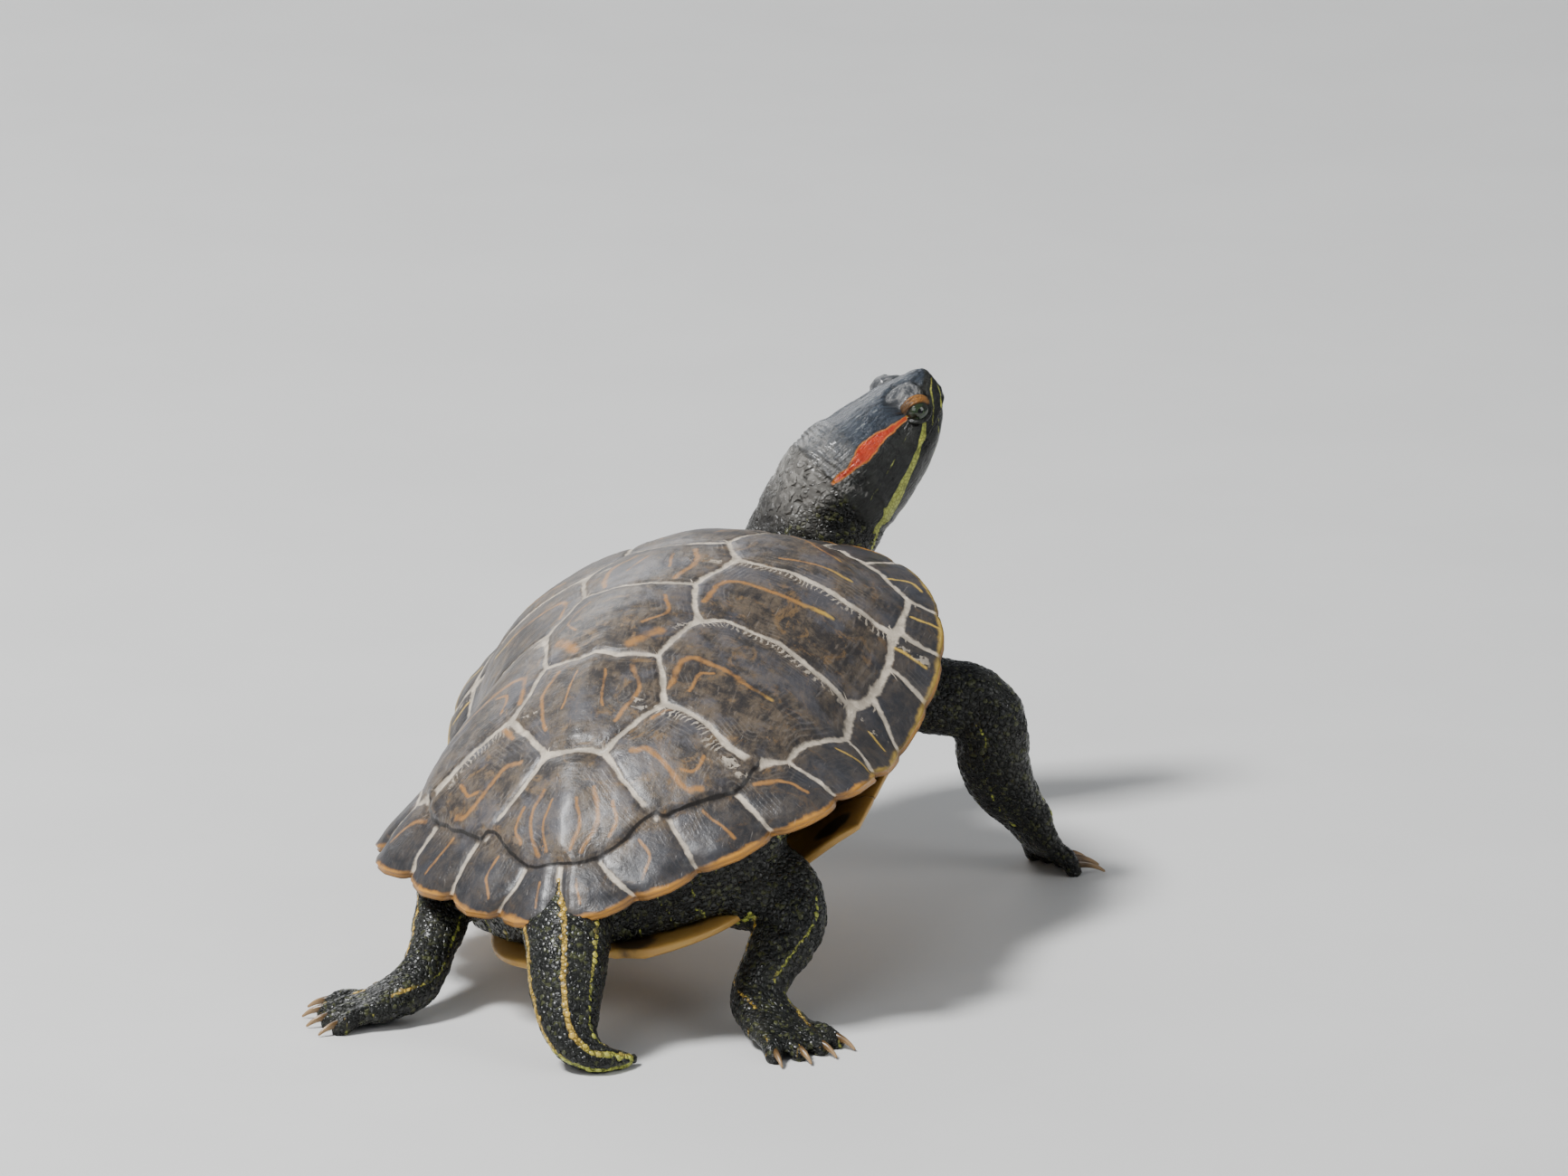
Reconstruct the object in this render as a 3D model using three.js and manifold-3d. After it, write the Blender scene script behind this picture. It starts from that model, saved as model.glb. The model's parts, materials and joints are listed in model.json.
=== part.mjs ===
// A red-eared slider (Trachemys scripta elegans), an adult male that basks with its head raised.
//
// Millimetres, +Z up, the floor at z = 0. The turtle faces -Y and its left side is +X.
// The shell is drawn in a frame of its own, centred between its front and rear tips, and that frame
// is then pitched nose up and rolled left side down. Limbs, neck and tail are lofts along smooth
// paths of stations, and each is parted at its joints by thin cuts.

import * as THREE from 'three';
import { mergeVertices } from 'three/addons/utils/BufferGeometryUtils.js';
import Module from 'manifold-3d';

const wasm = await Module();
wasm.setup();

// ---- Driving dimensions -------------------------------------------------------------------------

const SHELL_LENGTH = 190;          // straight carapace length
const SHELL_WIDTH = 149.9;         // carapace width, before the pinch at the bridge and the rear flare
const DOME_HEIGHT = 35.6;          // top of the dome above the plane of the two tips
const SHELL_CENTRE_HEIGHT = 56;    // of the shell's centre above the floor
const NOSE_UP = 12.3;              // degrees
const LEFT_DOWN = 12.2;            // degrees
const GAP = 0.3;                   // between pieces that touch

const HALF_LENGTH = SHELL_LENGTH / 2;
const HALF_WIDTH = SHELL_WIDTH / 2;

// Outline of the carapace: two superellipses that meet at the widest station.
const WIDEST_Y = 3.7;
const FRONT_ROUNDNESS = 2.06;
const REAR_ROUNDNESS = 1.58;
const PINCH = { share: 0.167, y: 0, reach: 28.3 };     // the bridge draws the sides in
const FLARE = { share: 0.08, y: 53, reach: 17.4 };     // the rear marginals spread
const NOTCH_DEPTH = 1.9;           // of the saw-toothed rear rim
const FRONT_LIFT = 2.7;            // rim above the tips' plane at the front, and at the rear
const REAR_LIFT = -3.6;
const SAG = { depth: 14.9, y: -3, reach: 33.3 };       // of the rim below that plane at the bridge

// Dome: the costals rise from the seam ring, and the marginals flare from there to the rim.
const SEAM_RING = 0.82;
const DOME_SPREAD = 1.62;
const STEEPNESS = { side: 0.68, rear: 0.85, front: 0.443 };
const SEAM_HEIGHT = { front: 0.313, rear: 0.233 };   // share of the dome's height at the seam ring
const SOFTENING = 0.03;
const DOME_THICKNESS = 4.2;
const RIM_THICKNESS = 2.2;

// Seams between the twelve marginals of one side, as y over the shell's length, from the nuchal back.
const MARGINAL_SEAMS = [
  -0.499, -0.47, -0.4, -0.26, -0.183, -0.105, -0.01, 0.11, 0.24, 0.333, 0.408, 0.465, 0.4999,
];
const FACETS_PER_MARGINAL = 2;
const FIRST_NOTCHED = 7;           // seams from here back carry a notch

// Plastron, in the shell's frame.
const PLASTRON_Z = -28;
const PLASTRON_THICKNESS = 3;
const PLASTRON_FRONT = -80;
const PLASTRON_REAR = 82;
const LOBE_HALF_WIDTH = 37;
const BRIDGE_HALF_WIDTH = 59;
const BRIDGE_FRONT = -38;
const BRIDGE_REAR = 34;
const BRIDGE_RISE = 8.5;
const LOBE_LIFT = { front: 4, rear: 5 };
const LOBE_ROUNDNESS = 2.6;
const ANAL_NOTCH = 7;

const TRUNK_RING = 0.86;           // how far the flesh reaches towards the rim
const TRUNK_CLEARANCE = 1;         // between the flesh and the plastron's upper side
const RUMP = { angles: [0.5, 0.75], climb: 0.86 };   // where the flesh behind the legs stays low

// Head: its place, how it is turned, and its sections from the snout back to the nape.
const SNOUT = new THREE.Vector3(-38.8, -127.7, 112.5);
const HEAD_TURN = 53.8;            // degrees to the turtle's right
const HEAD_RAISE = 38.3;
const HEAD_ROLL = 5.2;
const HEAD_SECTIONS = [            // [behind the snout, half width, height above the axis, depth below it]
  [-1.8, 1.8, 6.6, 0.4], [-0.6, 2.8, 7.4, 2.4], [0.8, 3.5, 8, 4.6], [2.4, 4.3, 8.5, 6.2],
  [4.8, 5.6, 9.1, 8.2], [7.6, 7, 9.8, 10.2], [11, 8.7, 10.5, 12], [15.4, 10.7, 11.5, 13.9],
  [21, 12.3, 12.6, 15.6], [27, 13.3, 13.3, 17.2], [34, 14, 14.4, 18.3],
];
const NECK_SECTIONS = [            // [x, y, z, half width, up, down, turn in degrees]
  [-10.6, -110.2, 76.5, 15, 15.4, 15.8, 42], [-5.2, -101.5, 64.5, 14.2, 13.6, 13.6, 20],
  [-1, -86, 58.5, 13.6, 12.4, 12.4, 0], [0, -64, 55, 14, 13, 13, 0],
];
const EYE_RADIUS = 3.5;
const EYE_AT = { back: 7.9, side: 6.4, up: 1.6 };
const ORBIT = { back: 8.6, side: 5.6, up: 4.4, radii: [5.7, 4.6, 5.3] };
const MOUTH = { front: -3.2, corner: -5.6, cornerBack: 15, hinge: -10, hingeBack: 21 };

// Limb stations: [x, y, z, half width, half thickness, share of the foot's own facing].
const RIGHT_ARM = {
  path: [[-40, -58, 55, 9.6, 8.6, 0], [-55.8, -63.6, 50.7, 9.8, 8.6, 0], [-64.4, -67, 48.7, 9.6, 8.2, 0],
    [-69.4, -68.2, 43, 9.4, 7.6, 0], [-69.8, -70.4, 33, 9.2, 6.6, 0.1], [-71.6, -74.4, 24.2, 8.4, 5.6, 0.35],
    [-75.6, -79.2, 16.4, 7.2, 4.7, 0.6], [-77.8, -81.8, 10.6, 8.2, 3.7, 1], [-80, -84.6, 5.4, 9.2, 2.8, 1]],
  back: [0.27, -0.96, 0], footBack: [-0.5, -0.62, 0.6],
};
const LEFT_ARM = {
  path: [[32, -58, 44, 9.6, 8.6, 0], [44, -63, 43, 9.8, 8.6, 0], [53, -65, 40.5, 9.6, 8.2, 0],
    [57, -66, 35, 9.3, 7.6, 0], [58.6, -69, 27, 8.9, 6.6, 0.2], [60.6, -73, 19.6, 8.1, 5.6, 0.5],
    [63.4, -78.4, 12.6, 7.4, 4.7, 0.8], [65.8, -84.4, 7.4, 8.6, 3.5, 1], [67.4, -90, 4.3, 9.4, 2.6, 1]],
  back: [-0.27, -0.96, 0], footBack: [0.15, -0.65, 0.74],
};
const LEFT_LEG = {
  path: [[22, 46, 27, 12, 11, 0], [30, 44, 28, 11.6, 10.2, 0], [36.5, 46, 27, 9.8, 8.6, 0],
    [38.5, 54, 22.6, 7.6, 6.8, 0.2], [38.6, 64, 15.6, 6, 5.6, 0.5], [40, 73, 9, 6, 5.4, 0.9],
    [46, 78.4, 5.2, 8.2, 4.4, 1], [53, 81.4, 3.2, 10.2, 2.9, 1]],
  back: [0, 0.7, 0.7], footBack: [-0.2, -0.1, 1],
};
const RIGHT_LEG = {
  path: [[-26, 46, 36, 12.5, 11.5, 0], [-36, 44, 33, 12.5, 11, 0], [-45, 44, 29, 11, 9.4, 0],
    [-48.5, 49, 22.6, 9, 7.8, 0.2], [-46, 56, 15.6, 7.2, 6.4, 0.5], [-44.5, 62.5, 9, 6.8, 5.6, 0.9],
    [-49.5, 68.5, 5.2, 8.4, 4.4, 1], [-56.5, 74, 3.2, 10.4, 2.9, 1]],
  back: [0, 0.7, 0.7], footBack: [0.1, -0.15, 1],
};
// Where each limb is parted, as stations counted from the root.
const ARM_JOINTS = [3, 6.2];
const LEG_JOINTS = [2.4, 4.9];
const TAIL_PATH = [[5, 60, 40, 12, 9.5], [1.5, 74, 35.5, 12, 9], [-2.5, 85.5, 27.4, 10.8, 8],
  [-5.2, 96, 16.8, 9, 6.8], [-8.6, 102.6, 8.6, 6.6, 5.4], [-14, 104.4, 4.2, 4.3, 3.8],
  [-19.5, 100.6, 2.4, 2.6, 2.3], [-23, 96, 1.5, 1, 1]];

// Digits and claws.
const FRONT_DIGITS = {
  count: 5, spread: 3.8, fan: 10, reach: [3, 4.6, 5.2, 4.6, 3], radius: 2.2,
  claw: 9.5, clawRadius: 1.25, clawRise: 1.8,
};
const HIND_DIGITS = {
  count: 4, spread: 5.2, fan: 12, reach: [6, 7.8, 8, 6.4], radius: 2.3,
  claw: 6.5, clawRadius: 1.2, clawRise: 1.2,
};
const DIGIT_ROOT = 3;              // how far inside the foot a digit starts
const PAD_HEIGHT = 1.4;            // of a digit's middle at its tip, so that the floor flattens the pad
const CLAW_STEPS = 3;
const CLAW_TIP_RADIUS = 0.3;

// ---- Loft and boolean helpers -------------------------------------------------------------------

const lerp = THREE.MathUtils.lerp;
const radians = THREE.MathUtils.degToRad;
const smoothstep = THREE.MathUtils.smoothstep;

function signedVolume(position, index) {
  const a = new THREE.Vector3();
  const b = new THREE.Vector3();
  const c = new THREE.Vector3();
  let sum = 0;
  for (let i = 0; i < index.length; i += 3) {
    a.fromBufferAttribute(position, index[i]);
    b.fromBufferAttribute(position, index[i + 1]);
    c.fromBufferAttribute(position, index[i + 2]);
    sum += a.dot(b.cross(c)) / 6;
  }
  return sum;
}

// A closed body from vertices and triangles, with its faces turned outwards.
function closedBody(points, index) {
  const geometry = new THREE.BufferGeometry().setFromPoints(points);
  const turned = signedVolume(geometry.attributes.position, index) < 0;
  geometry.setIndex(turned ? index.slice().reverse() : index);
  return geometry;
}

// Joins rings of equally many points into a body, closed at both ends by fans round their middles.
function loft(rings) {
  const sides = rings[0].length;
  const points = rings.flat();
  const index = [];
  for (let r = 0; r < rings.length - 1; r++) {
    for (let k = 0; k < sides; k++) {
      const a = r * sides + k;
      const b = r * sides + (k + 1) % sides;
      index.push(a, b, a + sides, b, b + sides, a + sides);
    }
  }
  const ends = [[rings[0], 0, true], [rings.at(-1), (rings.length - 1) * sides, false]];
  for (const [ring, first, flip] of ends) {
    const middle = ring.reduce((sum, p) => sum.add(p), new THREE.Vector3()).divideScalar(sides);
    const hub = points.push(middle) - 1;
    for (let k = 0; k < sides; k++) {
      const a = first + k;
      const b = first + (k + 1) % sides;
      index.push(...(flip ? [hub, b, a] : [hub, a, b]));
    }
  }
  return closedBody(points, index);
}

function toSolid(geometry) {
  const bare = geometry.clone();
  bare.deleteAttribute('normal');
  bare.deleteAttribute('uv');
  const merged = mergeVertices(bare, 1e-4);
  const vertProperties = Float32Array.from(merged.attributes.position.array);
  const triVerts = Uint32Array.from(merged.index.array);
  return new wasm.Manifold(new wasm.Mesh({ numProp: 3, vertProperties, triVerts }));
}

function toGeometry(solid) {
  const mesh = solid.getMesh();
  const geometry = new THREE.BufferGeometry();
  geometry.setAttribute('position', new THREE.BufferAttribute(Float32Array.from(mesh.vertProperties), 3));
  geometry.setIndex(Array.from(mesh.triVerts));
  geometry.computeVertexNormals();
  return geometry;
}

const cut = (solid, ...tools) => tools.reduce((rest, tool) => rest.subtract(tool), solid);
const join = (solid, ...more) => more.reduce((sum, piece) => sum.add(piece), solid);

function largestPiece(solid) {
  return solid.decompose().reduce((best, piece) => (piece.volume() > best.volume() ? piece : best));
}

// ---- Smooth paths -------------------------------------------------------------------------------

// A Catmull-Rom curve through rows of numbers, read at a place counted in stations.
function readPath(rows, place) {
  const last = rows.length - 1;
  const i = Math.min(Math.floor(place), last - 1);
  const t = place - i;
  const row = (j) => {
    if (j < 0) return rows[0].map((v, n) => 2 * v - rows[1][n]);
    if (j > last) return rows[last].map((v, n) => 2 * v - rows[last - 1][n]);
    return rows[j];
  };
  const [p0, p1, p2, p3] = [row(i - 1), row(i), row(i + 1), row(i + 2)];
  return p1.map((v, n) => {
    const m1 = (p2[n] - p0[n]) / 2;
    const m2 = (p3[n] - v) / 2;
    const a = 2 * v - 2 * p2[n] + m1 + m2;
    const b = -3 * v + 3 * p2[n] - 2 * m1 - m2;
    return ((a * t + b) * t + m1) * t + v;
  });
}

function pathDirection(rows, place) {
  const step = 0.01;
  const last = rows.length - 1;
  const from = readPath(rows, Math.max(place - step, 0));
  const to = readPath(rows, Math.min(place + step, last));
  return new THREE.Vector3(to[0] - from[0], to[1] - from[1], to[2] - from[2]).normalize();
}

// One ring of a limb: a flattened superellipse square to the path.
const LIMB_SHAPE = 2.3;
function roundedRing(centre, wideAxis, thinAxis, wide, up, down, sides) {
  const ring = [];
  for (let k = 0; k < sides; k++) {
    const angle = (2 * Math.PI * k) / sides;
    const c = Math.cos(angle);
    const s = Math.sin(angle);
    const across = Math.sign(c) * Math.abs(c) ** (2 / LIMB_SHAPE) * wide;
    const along = Math.sign(s) * Math.abs(s) ** (2 / LIMB_SHAPE) * (s > 0 ? up : down);
    ring.push(centre.clone().addScaledVector(wideAxis, across).addScaledVector(thinAxis, along));
  }
  return ring;
}

function limbFrame(limb, place) {
  const [x, y, z, wide, thick, turn] = readPath(limb.path, place);
  const along = pathDirection(limb.path, place);
  const facing = new THREE.Vector3(...limb.back).lerp(new THREE.Vector3(...limb.footBack), turn);
  const wideAxis = new THREE.Vector3().crossVectors(along, facing).normalize();
  const back = new THREE.Vector3().crossVectors(wideAxis, along);
  return { centre: new THREE.Vector3(x, y, z), along, wideAxis, back, wide, thick };
}

function limbLoft(limb, from, to, ringsPerStation, sides, grow = 0) {
  const count = Math.max(2, Math.round((to - from) * ringsPerStation) + 1);
  const rings = [];
  for (let r = 0; r < count; r++) {
    const f = limbFrame(limb, lerp(from, to, r / (count - 1)));
    const thick = f.thick + grow;
    rings.push(roundedRing(f.centre, f.wideAxis, f.back, f.wide + grow, thick, thick, sides));
  }
  return toSolid(loft(rings));
}

// ---- Shell --------------------------------------------------------------------------------------

// A smooth hump along the shell, from its middle station and its reach.
const hump = (y, { y: middle, reach }) => Math.exp(-(((y - middle) / reach) ** 2));
const sideSpread = (y) => 1 - PINCH.share * hump(y, PINCH) + FLARE.share * hump(y, FLARE);

// Length of the half of the shell that a station lies in, and its roundness.
function half(t) {
  if (t < 0) return { reach: WIDEST_Y + HALF_LENGTH, n: FRONT_ROUNDNESS };
  return { reach: HALF_LENGTH - WIDEST_Y, n: REAR_ROUNDNESS };
}

// A notch that narrows the rim at each rear seam.
function notch(y) {
  const share = y / SHELL_LENGTH;
  let deepest = 0;
  for (let k = FIRST_NOTCHED; k < MARGINAL_SEAMS.length; k++) {
    const width = 0.035;
    deepest = Math.max(deepest, 1 - Math.abs(share - MARGINAL_SEAMS[k]) / width);
  }
  return NOTCH_DEPTH * Math.max(deepest, 0);
}

// The point of the carapace at ring c (0 at the top, 1 at the rim) and at an angle round it,
// where sin(angle) < 0 is the front.
function shellPoint(c, angle) {
  const sine = Math.sin(angle);
  const cosine = Math.cos(angle);
  const { reach, n } = half(sine);
  const t = c * Math.sign(sine) * Math.abs(sine) ** (2 / n);
  const a = c * Math.abs(cosine) ** (2 / n);
  const y = WIDEST_Y + t * reach;
  const x = Math.sign(cosine) * a * HALF_WIDTH * sideSpread(y);
  const side = (a * a) / (a * a + t * t + 1e-9);
  const end = t < 0 ? 'front' : 'rear';
  const power = side * STEEPNESS.side + (1 - side) * STEEPNESS[end];
  const seam = side * SEAM_HEIGHT.front + (1 - side) * SEAM_HEIGHT[end];
  const lift = (t < 0 ? FRONT_LIFT : REAR_LIFT) * t * t - SAG.depth * hump(y, SAG);
  const rise = (v) => (v + SOFTENING) ** power - SOFTENING ** power;
  const share = c < SEAM_RING
    ? seam + (1 - seam) * (rise(1 - (c / SEAM_RING) ** DOME_SPREAD) / rise(1))
    : (seam * (1 - c)) / (1 - SEAM_RING);
  return new THREE.Vector3(x, y, (DOME_HEIGHT - lift) * share + lift);
}

function rimAngles() {
  const angles = [];
  for (const sideSign of [1, -1]) {
    const run = [];
    for (let k = 0; k < MARGINAL_SEAMS.length - 1; k++) {
      for (let f = 0; f < FACETS_PER_MARGINAL; f++) {
        const share = lerp(MARGINAL_SEAMS[k], MARGINAL_SEAMS[k + 1], f / FACETS_PER_MARGINAL);
        const offset = share * SHELL_LENGTH - WIDEST_Y;
        const { reach, n } = half(offset);
        run.push(Math.sign(offset) * Math.asin((Math.abs(offset) / reach) ** (n / 2)));
      }
    }
    angles.push(...(sideSign > 0 ? [...run, Math.PI / 2] : run.map((a) => Math.PI - a).reverse()));
  }
  return angles;
}

const OUTER_RINGS = [0.16, 0.34, 0.5, 0.63, 0.73, 0.79, 0.83, 0.91, 1];
const INNER_RINGS = [0.96, 0.84, 0.74, 0.56, 0.3];

// Thickness below the outer surface at ring c.
const wall = (c) => lerp(DOME_THICKNESS, RIM_THICKNESS, smoothstep(c, 0.55, 1));

function carapaceShape(grow) {
  const angles = rimAngles();
  const outer = OUTER_RINGS.map((c) => angles.map((angle) => {
    const p = shellPoint(c, angle);
    const shrink = c === 1 ? (HALF_WIDTH + grow - notch(p.y)) / HALF_WIDTH : 1 + grow / HALF_WIDTH;
    return p.multiply(new THREE.Vector3(shrink, shrink, 1)).add(new THREE.Vector3(0, 0, grow));
  }));
  const inner = INNER_RINGS.map((c) => angles.map((angle) => {
    const p = shellPoint(c, angle);
    const drop = new THREE.Vector3(0, 0, wall(c) + grow);
    return p.multiply(new THREE.Vector3(0.975, 0.975, 1)).sub(drop);
  }));
  const drawnIn = 0.99;
  const lip = outer.at(-1).map((p) => {
    return new THREE.Vector3(p.x * drawnIn, p.y * drawnIn, p.z - RIM_THICKNESS - 2 * grow);
  });
  return toSolid(loft([...outer, lip, ...inner]));
}

// Plastron: a plate with a front and a hind lobe, and a bridge that climbs to the rim on each side.
function plastronHalfWidth(y) {
  const [start, tip] = y < 0 ? [BRIDGE_FRONT, PLASTRON_FRONT] : [BRIDGE_REAR, PLASTRON_REAR];
  const toTip = Math.max((y - start) / (tip - start), 0);
  const lobe = LOBE_HALF_WIDTH * Math.sqrt(Math.max(1 - toTip ** LOBE_ROUNDNESS, 0.04));
  const behindFront = smoothstep(y, BRIDGE_FRONT - 5, BRIDGE_FRONT + 3);
  const beforeRear = 1 - smoothstep(y, BRIDGE_REAR - 3, BRIDGE_REAR + 5);
  const bridge = behindFront * beforeRear;
  return lerp(lobe, BRIDGE_HALF_WIDTH, bridge);
}

function plastronUnderside(x, y) {
  const bridge = BRIDGE_RISE * smoothstep(Math.abs(x), LOBE_HALF_WIDTH - 3, BRIDGE_HALF_WIDTH + 2);
  const front = Math.max((BRIDGE_FRONT - y) / (BRIDGE_FRONT - PLASTRON_FRONT), 0);
  const rear = Math.max((y - BRIDGE_REAR) / (PLASTRON_REAR - BRIDGE_REAR), 0);
  return PLASTRON_Z + bridge + LOBE_LIFT.front * front ** 2 + LOBE_LIFT.rear * rear ** 2;
}

function plastronShape(grow) {
  const stations = [-80, -77, -68, -55, -43, -38.5, -35, -14, 10, 31, 35, 39, 52, 66, 76, 82];
  const across = [-1, -0.84, -0.58, 0, 0.58, 0.84, 1];
  const rings = stations.map((y, i) => {
    const width = plastronHalfWidth(y) + grow;
    const end = i === 0 ? -grow : i === stations.length - 1 ? grow : 0;
    const tip = smoothstep(y, 60, PLASTRON_REAR);
    const row = (thickness) => across.map((share) => {
      const x = share * width;
      const notchPull = ANAL_NOTCH * tip * Math.max(1 - Math.abs(x) / 14, 0);
      return new THREE.Vector3(x, y + end - notchPull, plastronUnderside(x, y) + thickness);
    });
    return [...row(-grow), ...row(PLASTRON_THICKNESS + grow).reverse()];
  });
  return toSolid(loft(rings));
}

// The flesh between carapace and plastron, which shows at the leg pockets.
function trunkShape(grow) {
  const angles = rimAngles().filter((_, i) => i % 2 === 0);
  const spread = 1 + (2 * grow) / HALF_WIDTH;
  const top = [0.3, 0.56, 0.74, TRUNK_RING].map((c) => angles.map((angle) => {
    const p = shellPoint(c, angle);
    const shrink = 0.97 * spread;
    return p.multiply(new THREE.Vector3(shrink, shrink, 1)).setZ(p.z - wall(c) - TRUNK_CLEARANCE + grow);
  }));
  const bottom = [0.8, 0.68, 0.5, 0.25].map((c) => angles.map((angle) => {
    const edge = shellPoint(TRUNK_RING, angle);
    const p = shellPoint(c * spread, angle);
    const rear = smoothstep(Math.sin(angle), ...RUMP.angles);
    const climb = smoothstep(c / TRUNK_RING, lerp(0.62, RUMP.climb, rear), 1 + 0.1 * rear);
    const rest = plastronUnderside(p.x, p.y) + PLASTRON_THICKNESS + TRUNK_CLEARANCE;
    return p.setZ(Math.max(rest, lerp(PLASTRON_Z, edge.z - 5, climb)) - grow);
  }));
  return toSolid(loft([...top, ...bottom]));
}

// ---- Head and neck ------------------------------------------------------------------------------

function headAxes() {
  const turn = radians(HEAD_TURN);
  const raise = radians(HEAD_RAISE);
  const roll = radians(HEAD_ROLL);
  const level = new THREE.Vector3(-Math.cos(turn), Math.sin(turn), 0);
  const ahead = new THREE.Vector3(-Math.sin(turn), -Math.cos(turn), 0);
  const forward = ahead.multiplyScalar(Math.cos(raise)).setZ(Math.sin(raise));
  const upright = new THREE.Vector3().crossVectors(level, forward);
  const right = level.clone().multiplyScalar(Math.cos(roll)).addScaledVector(upright, Math.sin(roll));
  const up = new THREE.Vector3().crossVectors(right, forward);
  return { forward, right, up };
}
const HEAD = headAxes();

// A place on the head, given by how far it lies behind the snout, to the right and above the axis.
function onHead(back, right, up) {
  const place = SNOUT.clone().addScaledVector(HEAD.forward, -back);
  return place.addScaledVector(HEAD.right, right).addScaledVector(HEAD.up, up);
}

function headPlacement() {
  const placement = new THREE.Matrix4().makeBasis(HEAD.forward.clone().negate(), HEAD.right, HEAD.up);
  return placement.setPosition(SNOUT);
}

// Head and neck share one run of stations: [x, y, z, half width, up, down, turn, level of the head's axes].
function headAndNeckRows() {
  const head = HEAD_SECTIONS.map(([back, wide, up, down]) => {
    const p = onHead(back, 0, 0);
    return [p.x, p.y, p.z, wide, up, down, HEAD_TURN, 1];
  });
  const neck = NECK_SECTIONS.map((section) => [...section, section.at(-1) / HEAD_TURN]);
  return [...head, ...neck];
}

function neckRing(rows, place, sides) {
  const [x, y, z, wide, up, down, turn, share] = readPath(rows, place);
  const along = pathDirection(rows, place).negate();
  const side = new THREE.Vector3(-Math.cos(radians(turn)), Math.sin(radians(turn)), 0);
  side.addScaledVector(HEAD.up, Math.sin(radians(HEAD_ROLL)) * share);
  side.addScaledVector(along, -side.dot(along)).normalize();
  const top = new THREE.Vector3().crossVectors(side, along);
  return roundedRing(new THREE.Vector3(x, y, z), side, top, wide, up, down, sides);
}

function neckLoft(from, to, ringsPerStation, sides) {
  const rows = headAndNeckRows();
  const count = Math.round((to - from) * ringsPerStation) + 1;
  const rings = [];
  for (let r = 0; r < count; r++) rings.push(neckRing(rows, lerp(from, to, r / (count - 1)), sides));
  return toSolid(loft(rings));
}

function ellipsoid(centre, radii, segments) {
  const ball = new THREE.SphereGeometry(1, segments, segments / 2);
  ball.scale(...radii);
  ball.applyMatrix4(headPlacement().setPosition(centre));
  return toSolid(ball);
}

// The wedge that holds the lower jaw: its profile lies in the head's middle plane.
function jawWedge(grow) {
  const profile = new THREE.Shape();
  profile.moveTo(-4, MOUTH.front + grow);
  profile.lineTo(MOUTH.cornerBack, MOUTH.corner + grow);
  profile.lineTo(MOUTH.hingeBack + grow, MOUTH.hinge);
  profile.lineTo(MOUTH.hingeBack - 2 + grow, -30);
  profile.lineTo(-4, -30);
  profile.closePath();
  const depth = 40;
  const wedge = new THREE.ExtrudeGeometry(profile, { depth, bevelEnabled: false });
  wedge.translate(0, 0, -depth / 2);
  wedge.rotateX(Math.PI / 2);
  wedge.applyMatrix4(headPlacement());
  return toSolid(wedge);
}

// ---- Feet ---------------------------------------------------------------------------------------

// The run of one digit from inside the foot to its pad, and of its claw from there to the floor.
function digitPaths(limb, digits, i) {
  const foot = limbFrame(limb, limb.path.length - 1);
  const offset = i - (digits.count - 1) / 2;
  const heading = new THREE.Vector3(foot.along.x, foot.along.y, 0).normalize();
  const across = new THREE.Vector3(foot.wideAxis.x, foot.wideAxis.y, 0).normalize();
  const fan = radians(digits.fan) * offset;
  const outward = heading.clone().multiplyScalar(Math.cos(fan)).addScaledVector(across, Math.sin(fan));
  const root = foot.centre.clone().addScaledVector(foot.along, -DIGIT_ROOT);
  root.addScaledVector(foot.wideAxis, offset * digits.spread * 0.8);
  const tip = foot.centre.clone().addScaledVector(across, offset * digits.spread);
  tip.addScaledVector(outward, digits.reach[i]);
  tip.z = PAD_HEIGHT;
  const claw = [];
  for (let k = 0; k <= CLAW_STEPS; k++) {
    const share = k / CLAW_STEPS;
    const point = tip.clone().addScaledVector(outward, digits.claw * share * (1 - 0.15 * share));
    point.z = lerp(PAD_HEIGHT + digits.clawRise, CLAW_TIP_RADIUS + 0.15, share ** 1.9);
    claw.push(point);
  }
  return { root, tip, outward, claw };
}

function taperedLoft(points, radii, sides) {
  const rings = points.map((point, i) => {
    const before = points[Math.max(i - 1, 0)];
    const after = points[Math.min(i + 1, points.length - 1)];
    const along = after.clone().sub(before).normalize();
    const across = new THREE.Vector3().crossVectors(along, new THREE.Vector3(0, 0, 1)).normalize();
    const up = new THREE.Vector3().crossVectors(across, along);
    return roundedRing(point, across, up, radii[i], radii[i], radii[i], sides);
  });
  return toSolid(loft(rings));
}

function digitSolid(limb, digits, i) {
  const { root, tip, outward } = digitPaths(limb, digits, i);
  const knuckle = root.clone().lerp(tip, 0.55).add(new THREE.Vector3(0, 0, 0.9));
  const nose = tip.clone().addScaledVector(outward, digits.radius * 0.8);
  const r = digits.radius;
  return taperedLoft([root, knuckle, tip, nose], [r * 0.9, r * 1.05, r, r * 0.5], 6);
}

function clawSolid(limb, digits, i) {
  const { claw } = digitPaths(limb, digits, i);
  const radii = claw.map((_, k) => lerp(digits.clawRadius, CLAW_TIP_RADIUS, (k / CLAW_STEPS) ** 0.8));
  return taperedLoft(claw, radii, 6);
}

// ---- Assembly -----------------------------------------------------------------------------------

const SKIN = { color: 0x2b2d26, roughness: 0.55, metalness: 0 };
const FINISHES = {
  carapace: { color: 0x4f4941, roughness: 0.35, metalness: 0 },
  plastron: { color: 0xb08a3e, roughness: 0.45, metalness: 0 },
  skin: SKIN,
  head: { color: 0x33393b, roughness: 0.35, metalness: 0 },
  eye: { color: 0x6d7436, roughness: 0.1, metalness: 0 },
  claw: { color: 0x6e5228, roughness: 0.3, metalness: 0 },
};

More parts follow.
